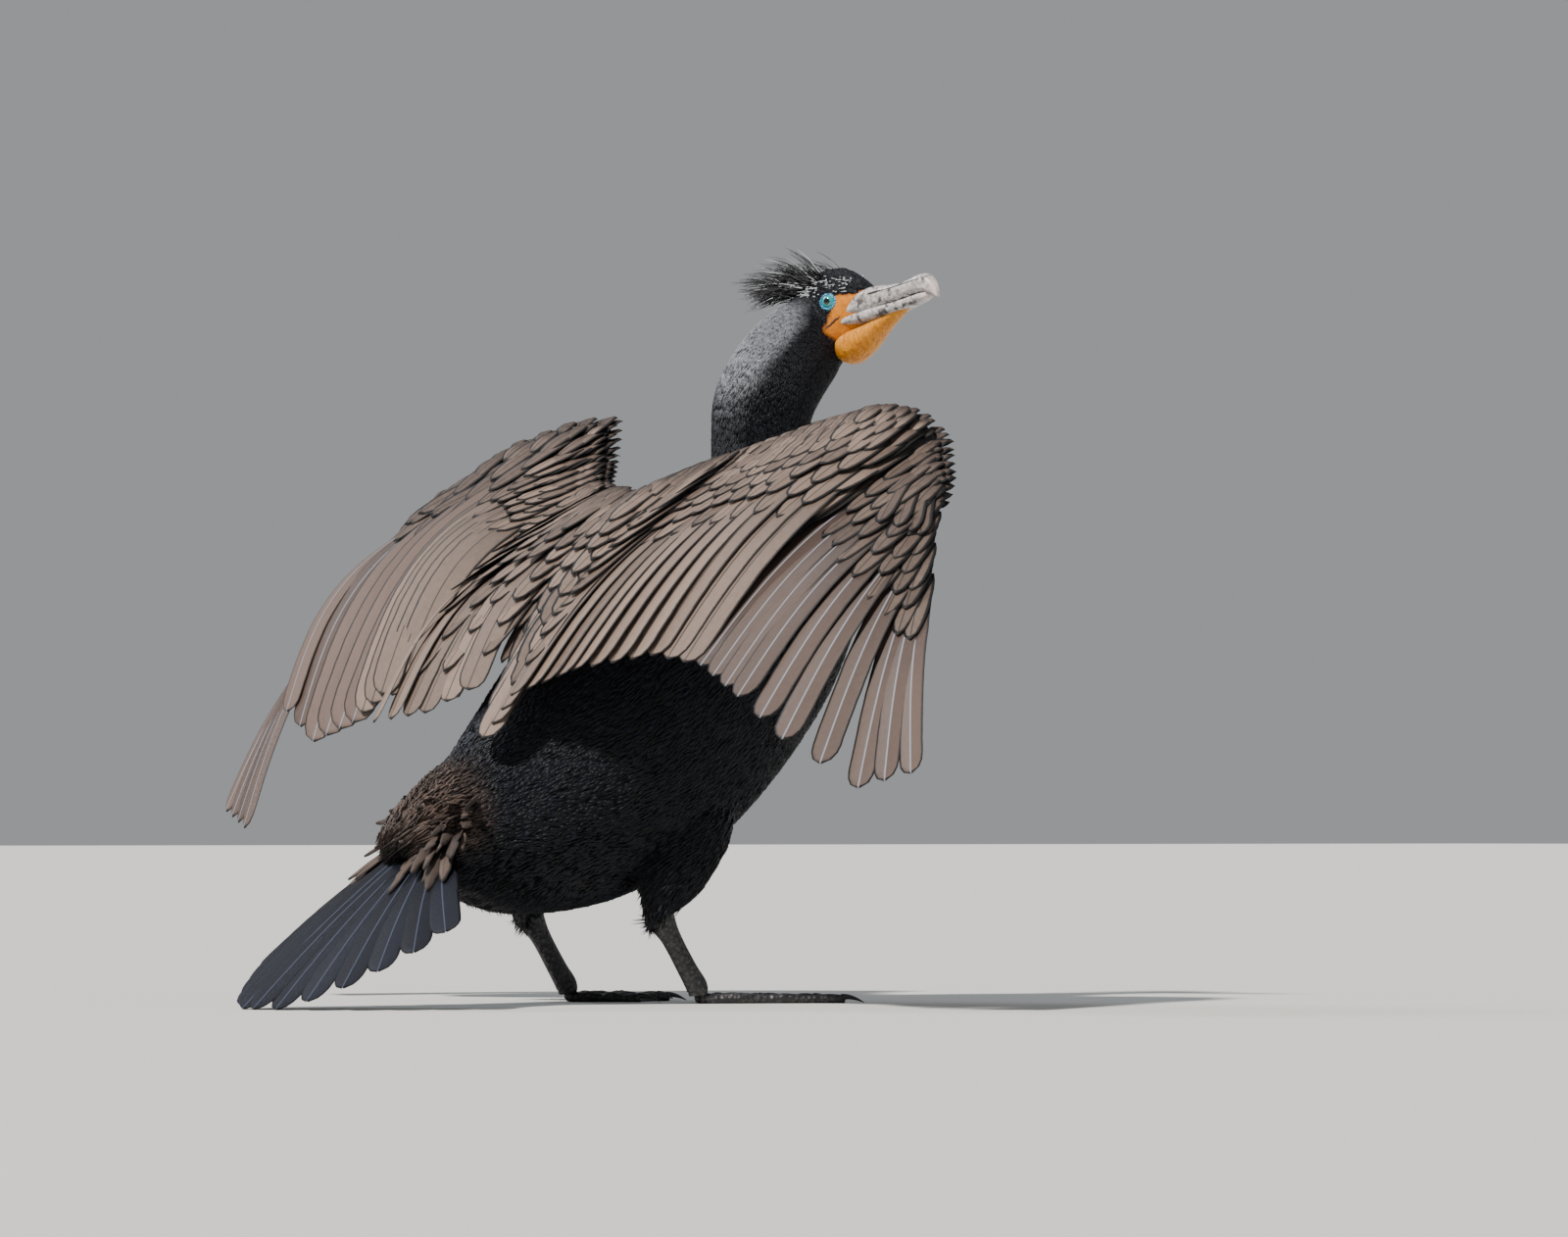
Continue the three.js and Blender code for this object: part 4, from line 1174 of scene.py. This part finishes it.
skin_corners = [list(face.vertices) for face in skin_mesh.polygons]
skin_tree = BVHTree.FromPolygons(skin_points.tolist(), skin_corners)
for name, cheek in SIDES:
    for part, first, last, thick, up in SLITS:
        along = np.linspace(first, last, SLIT_ROWS)
        middle, wide, high = profile(BILL_UPPER, 80, along)
        rise = np.abs((up - middle) / high) ** (1 / SQUARE)
        out = wide * np.sqrt(1 - rise**2) ** SQUARE
        slit(f"{part}_{name}", head_point(along, cheek * out, np.full(SLIT_ROWS, up)), thick, 0.04)
    share = np.linspace(0, 1, SLIT_ROWS)
    beside = head_point(9 - 10 * share, cheek * np.full(SLIT_ROWS, 18.0), -11.4 - 4.6 * share**1.5)
    on_skin = np.array([skin_tree.find_nearest(Vector(point))[0] for point in beside])
    slit(f"gape_{name}", on_skin, GAPE_THICK, 0.06)

# Throat pouch.
# Bare skin slung between the halves of the lower jaw, yellow-orange and finely wrinkled.
POUCH = [
    [-9, -22, 10, 9],
    [-3, -25, 11.6, 11],
    [4, -26, 11.6, 10.6],
    [16, -24, 9.8, 8.8],
    [30, -19.5, 7.0, 5.4],
    [44, -16, 4.4, 2.8],
    [52, -14.5, 2.4, 1.4],
]
pouch_paint = Paint("pouch_paint", 0.45, Subsurface_Weight=0.1, Specular_IOR_Level=0.5)
wrinkle = pouch_paint.noise(330, 5.0, (1.0, 1.0, 0.35))
pouch_paint.bump(wrinkle, 0.0022, 1.0)
# The orange is darker where the wrinkles sink and brighter on their ridges: painted shade in the folds.
pouch_paint.colour(pouch_paint.mix(wrinkle, (0.50, 0.12, 0.004), (0.92, 0.40, 0.02)))
pouch_rings = head_rings(POUCH, 40, 32)
tube("throat_pouch", pouch_rings, pouch_paint.made, replaces=["gular_pouch"], slot="pouch")

# Eyes.
# A wet teal ball with a dark pupil looks out and forward from each side of the skull.
# A ring of beaded blue lid lies round it.
EYE_RADIUS = 5.2
EYE_SIDES = 40
LID_RADIUS = 4.6
LID_THICK = 0.9
LID_OUT = 2.9
LID_BEADS = 18
LID_ROWS, LID_SIDES = 72, 12
PUPIL_COLOUR = (0.001, 0.001, 0.002)
RIM_COLOUR = (0.01, 0.02, 0.03)
eye_paint = Paint("eye_paint", 0.06, Coat_Weight=1.0, Coat_Roughness=0.02)
from_pupil = eye_paint.value("polar")
iris = eye_paint.mix(eye_paint.noise(900, 4.0), (0.004, 0.13, 0.16), (0.02, 0.42, 0.40))
with_pupil = eye_paint.mix(eye_paint.ramp(from_pupil, 0.36, 0.42), PUPIL_COLOUR, iris)
eye_paint.colour(eye_paint.mix(eye_paint.ramp(from_pupil, 0.95, 1.05), with_pupil, RIM_COLOUR))
lid_paint = Paint("lid_paint", 0.35, Specular_IOR_Level=0.5)
lid_paint.bump(lid_paint.cells(900), 0.0005)
beads = lid_paint.ramp(lid_paint.cells(1100), 0.25, 0.6)
lid_paint.colour(lid_paint.mix(beads, (0.14, 0.56, 0.82), (0.01, 0.12, 0.26)))
for name, cheek in SIDES:
    polar = np.linspace(0.02, np.pi - 0.02, EYE_SIDES)
    centre = head_point(0, cheek * EYE_OUT, 0)
    look = unit(cheek * CHEEK + 0.40 * BILL)
    fore = unit(BILL - (BILL @ look) * look)
    over = np.cross(fore, look) * cheek
    over = over * np.sign(over @ CROWN)
    centres = centre + np.multiply.outer(EYE_RADIUS * np.cos(polar), look)
    radius = EYE_RADIUS * np.sin(polar)
    ball = ellipse_rings(centres, fore, over, radius, radius, EYE_SIDES)
    tube(f"eyeball_{name}", ball, eye_paint.made, replaces=[f"eye_{name}"], slot="eye",
         values={"polar": np.repeat(polar, EYE_SIDES)})
    turn = np.linspace(0, 2 * np.pi, LID_ROWS + 1)[:-1]
    bead = LID_THICK * (1 + 0.2 * np.cos(LID_BEADS * turn))
    middle = centre + LID_OUT * look
    spine = middle + np.multiply.outer(LID_RADIUS * np.cos(turn), fore)
    spine = spine + np.multiply.outer(0.92 * LID_RADIUS * np.sin(turn), over)
    from_middle = unit(spine - middle)
    round_lid = np.linspace(0, 2 * np.pi, LID_SIDES + 1)[:-1]
    lid = (
        spine[:, None]
        + (bead[:, None] * np.cos(round_lid))[..., None] * from_middle[:, None]
        + (bead[:, None] * np.sin(round_lid))[..., None] * look
    )
    i, j = np.meshgrid(np.arange(LID_ROWS), np.arange(LID_SIDES), indexing="ij")
    row, next_row = i * LID_SIDES, (i + 1) % LID_ROWS * LID_SIDES
    next_j = (j + 1) % LID_SIDES
    lid_faces = np.stack([row + j, next_row + j, next_row + next_j, row + next_j], -1)
    lid_faces = lid_faces.reshape(-1, 4).tolist()
    piece(f"lid_{name}", lid.reshape(-1, 3), lid_faces, lid_paint.made, slot="eye")

# Crest.
# Two loose tufts of narrow black plumes behind the eyes, with a few white filaments.
# They grow from the skin in clumps and are swept back by the wind.
PLUMES = 460
CLUMPS = 16
WHITE_SHARE = 0.13
STRAND_STEPS = 9
STRAND_SIDES = 3
STRAND_POINTS = STRAND_STEPS * STRAND_SIDES
crest_paint = Paint("crest_paint", 0.5, Specular_IOR_Level=0.4)
plume_black, plume_white = (0.010, 0.010, 0.013), (0.72, 0.74, 0.78)
crest_paint.colour(crest_paint.mix(crest_paint.value("white"), plume_black, plume_white))


def strands(name, roots, tips, bend, widths, white):
    """A piece of thin strands from roots to tips, bowed along the bend vectors by a sine."""
    t = np.linspace(0, 1, STRAND_STEPS)
    spine = roots[:, None] + (tips - roots)[:, None] * t[None, :, None]
    spine = spine + bend[:, None] * np.sin(np.pi * t)[None, :, None]
    way = unit(tips - roots)
    a = unit(np.cross(way, CROWN))
    b = np.cross(a, way)
    girth = widths[:, None] * (1.02 - t[None]) ** 0.6
    turn = 2 * np.arange(STRAND_SIDES) * np.pi / STRAND_SIDES
    ring = np.cos(turn)[:, None, None] * a + np.sin(turn)[:, None, None] * b
    points = spine[:, :, None] + girth[:, :, None, None] * ring.transpose(1, 0, 2)[:, None]
    i, j = np.meshgrid(np.arange(STRAND_STEPS - 1), np.arange(STRAND_SIDES), indexing="ij")
    row, next_row = i * STRAND_SIDES, (i + 1) * STRAND_SIDES
    next_j = (j + 1) % STRAND_SIDES
    strand = np.stack([row + j, row + next_j, next_row + next_j, next_row + j], -1).reshape(-1, 4)
    starts = STRAND_POINTS * np.arange(len(roots))
    faces = (strand[None] + starts[:, None, None]).reshape(-1, 4).tolist()
    for start in starts.tolist():
        end = start + STRAND_POINTS
        faces.append([start + 2, start + 1, start])
        faces.append([end - 3, end - 2, end - 1])
    values = {"white": np.repeat(white, STRAND_POINTS)}
    piece(name, points.reshape(-1, 3), faces, crest_paint.made, slot="body_feathers", values=values)


for name, cheek in SIDES:
    share = rng.random(PLUMES)
    roots = head_point(
        -6 - 27 * share + rng.normal(0, 1.5, PLUMES),
        cheek * (10.5 + 3 * share + rng.normal(0, 1.4, PLUMES)),
        15.5 - 4 * share + rng.normal(0, 1.6, PLUMES),
    )
    clump = rng.integers(0, CLUMPS, PLUMES)
    reach = (24 + 20 * np.sin(np.pi * share)) * rng.uniform(0.5, 1.15, CLUMPS)[clump]
    reach = reach * rng.uniform(0.85, 1.1, PLUMES)
    clump_out = rng.normal(0, 4.0, CLUMPS)[clump]
    clump_up = rng.normal(0, 5.0, CLUMPS)[clump]
    tips = roots + np.multiply.outer(-reach, BILL)
    tips = tips + np.multiply.outer(cheek * (6 * share + 2) + clump_out, CHEEK)
    tips = tips + np.multiply.outer(11 - 9 * share + clump_up, CROWN)
    bend = np.multiply.outer(rng.uniform(0.5, 3.5, PLUMES), CROWN)
    white = (rng.random(PLUMES) < WHITE_SHARE).astype(float)
    widths = np.where(white > 0, 0.22, 0.34) * rng.uniform(0.8, 1.3, PLUMES)
    strands(f"crest_{name}", roots, tips, bend, widths, white)

# Brow filaments.
# Short white plumes and specks scattered in the black above and behind the eyes.
# Most are mere specks, and one in seven is a longer plume.
FILAMENTS = 80
for name, cheek in SIDES:
    along = rng.uniform(-20, 15, FILAMENTS)
    up = rng.uniform(6.5, 17, FILAMENTS) - 0.25 * np.abs(along)
    middle, wide, high = profile(SKULL, 60, along)
    out = wide * np.sqrt(np.clip(1 - ((up - middle) / high) ** 2, 0.05, 1)) + 0.6
    roots = head_point(along, cheek * out, up)
    longer = rng.random(FILAMENTS) < 0.14
    reach = np.where(longer, rng.uniform(5, 11, FILAMENTS), rng.uniform(0.9, 2.2, FILAMENTS))
    tips = roots + np.multiply.outer(-reach, BILL) + np.multiply.outer(cheek * 0.12 * reach, CHEEK)
    tips = tips + np.multiply.outer(0.15 * reach, CROWN)
    widths = rng.uniform(0.14, 0.28, FILAMENTS)
    strands(f"brow_{name}", roots, tips, 0 * roots, widths, np.ones(FILAMENTS))

# Legs and feet.
# Dark scaly shanks on feet with four toes in one web, their soles flat on the floor.
# Each toe ends in a short hooked claw, and thin skin spans from toe to toe.
FEET = {"right": (-54.0, -45.0), "left": (-78.0, 45.0)}
# Toes as (angle outward, length, half thickness).
TOES = [(-52, 42, 3.4), (-16, 62, 3.8), (9, 78, 3.8), (30, 84, 3.6)]
SOLE = 3.2
TOE_ROWS, CLAW_ROWS = 44, 20
WEB_ROWS, WEB_COLS = 20, 16
leg_paint = Paint("leg_paint", 0.5, Specular_IOR_Level=0.5)
scales = leg_paint.cells(420)
leg_paint.bump(scales, 0.0009, 0.9)
between_scales = leg_paint.ramp(scales, 0.25, 0.6)
leg_paint.colour(leg_paint.mix(between_scales, (0.045, 0.043, 0.046), (0.012, 0.012, 0.014)))
web_paint = Paint("web_paint", 0.55, Specular_IOR_Level=0.45)
creases = web_paint.noise(600, 5.0)
web_paint.bump(creases, 0.0007, 0.8)
# The webs are darker where the creases sink: painted shade in the creases.
web_paint.colour(web_paint.mix(creases, (0.010, 0.010, 0.012), (0.04, 0.038, 0.042)))
claw_dark, claw_light = (0.005, 0.005, 0.006), (0.035, 0.032, 0.034)
claw_paint = flecked("claw_paint", 0.3, 500, claw_dark, claw_light, Specular_IOR_Level=0.5)
for name, (x, y) in FEET.items():
    side = math.copysign(1, y)
    hock = x - 30
    shank = [
        [hock - 2, y, 58, 6, 8],
        [hock, y, 50, 6.6, 9.2],
        [hock + 8, y, 38, 4.6, 6.4],
        [hock + 20, y, 20, 4.6, 6.2],
        [hock + 27, y, 10, 5.6, 6.6],
        [hock + 28, y, 5, 5, 5.4],
    ]
    shank_rings = limb_rings(shank, LEFTWARD, 40, 28)
    tube(f"shank_skin_{name}", shank_rings, leg_paint.made, replaces=[f"shank_{name}"], slot="leg_skin")
    heel = np.array([x, y, 4.6])
    tips = []
    for k, (angle, reach, thick) in enumerate(TOES):
        turn = math.radians(side * angle)
        tip = np.array([x + reach * math.cos(turn), y + reach * math.sin(turn), SOLE])
        tips.append(tip)
        way = unit((tip - heel) * (1, 1, 0))
        t = np.linspace(0, 1, TOE_ROWS)
        knuckle = 1 + 0.10 * np.cos(2 * np.pi * (t * 3.2 + 0.1))
        centres = heel + (tip - heel) * t[:, None]
        high = (3.1 - 0.7 * t) * knuckle
        centres[:, 2] = np.maximum(high, 0.4) + 0.02
        across = np.cross(UP, way)
        wide = thick * knuckle * (1 - 0.3 * t)
        rings = ellipse_rings(centres, across, UP, wide, high, 18)
        more = {"replaces": [f"foot_{name}"]} if k == 0 else {}
        tube(f"toe_{k + 1}_{name}", rings, leg_paint.made, slot="leg_skin", **more)
        t = np.linspace(0, 1, CLAW_ROWS)
        centres = tip + np.multiply.outer(-2 + 13.5 * t, way)
        centres[:, 2] = 2.4 + 2.0 * np.sin(np.pi * (0.2 + 0.75 * t)) - 2.3 * t
        girth = 1.9 * (1.03 - t) ** 0.7
        centres[:, 2] = np.maximum(centres[:, 2], girth + 0.05)
        rings = ellipse_rings(centres, across, UP, girth, girth, 14)
        tube(f"claw_{k + 1}_{name}", rings, claw_paint.made, slot="leg_skin")
    for k, (tip, next_tip) in enumerate(zip(tips, tips[1:])):
        out, round_foot = np.linspace(0.02, 1, WEB_ROWS), np.linspace(0, 1, WEB_COLS)
        u, v = np.meshgrid(out, round_foot, indexing="ij")
        edge = tip + (next_tip - tip) * v[..., None]
        sag = 1 - 0.16 * (4 * v * (1 - v)) ** 0.8
        web = heel + (edge - heel) * (u * sag)[..., None]
        web[..., 2] = 1.15 + 0.6 * (1 - u) + 0.25 * np.sin(9 * v * np.pi) * u * (4 * v * (1 - v))
        top, under = web.reshape(-1, 3), web.reshape(-1, 3) * (1, 1, 0) + [0, 0, 0.1]
        web_faces = vane_faces(WEB_ROWS, WEB_COLS).tolist()
        web_name = f"web_{k + 1}_{name}"
        piece(web_name, np.vstack([top, under]), web_faces, web_paint.made, slot="leg_skin")
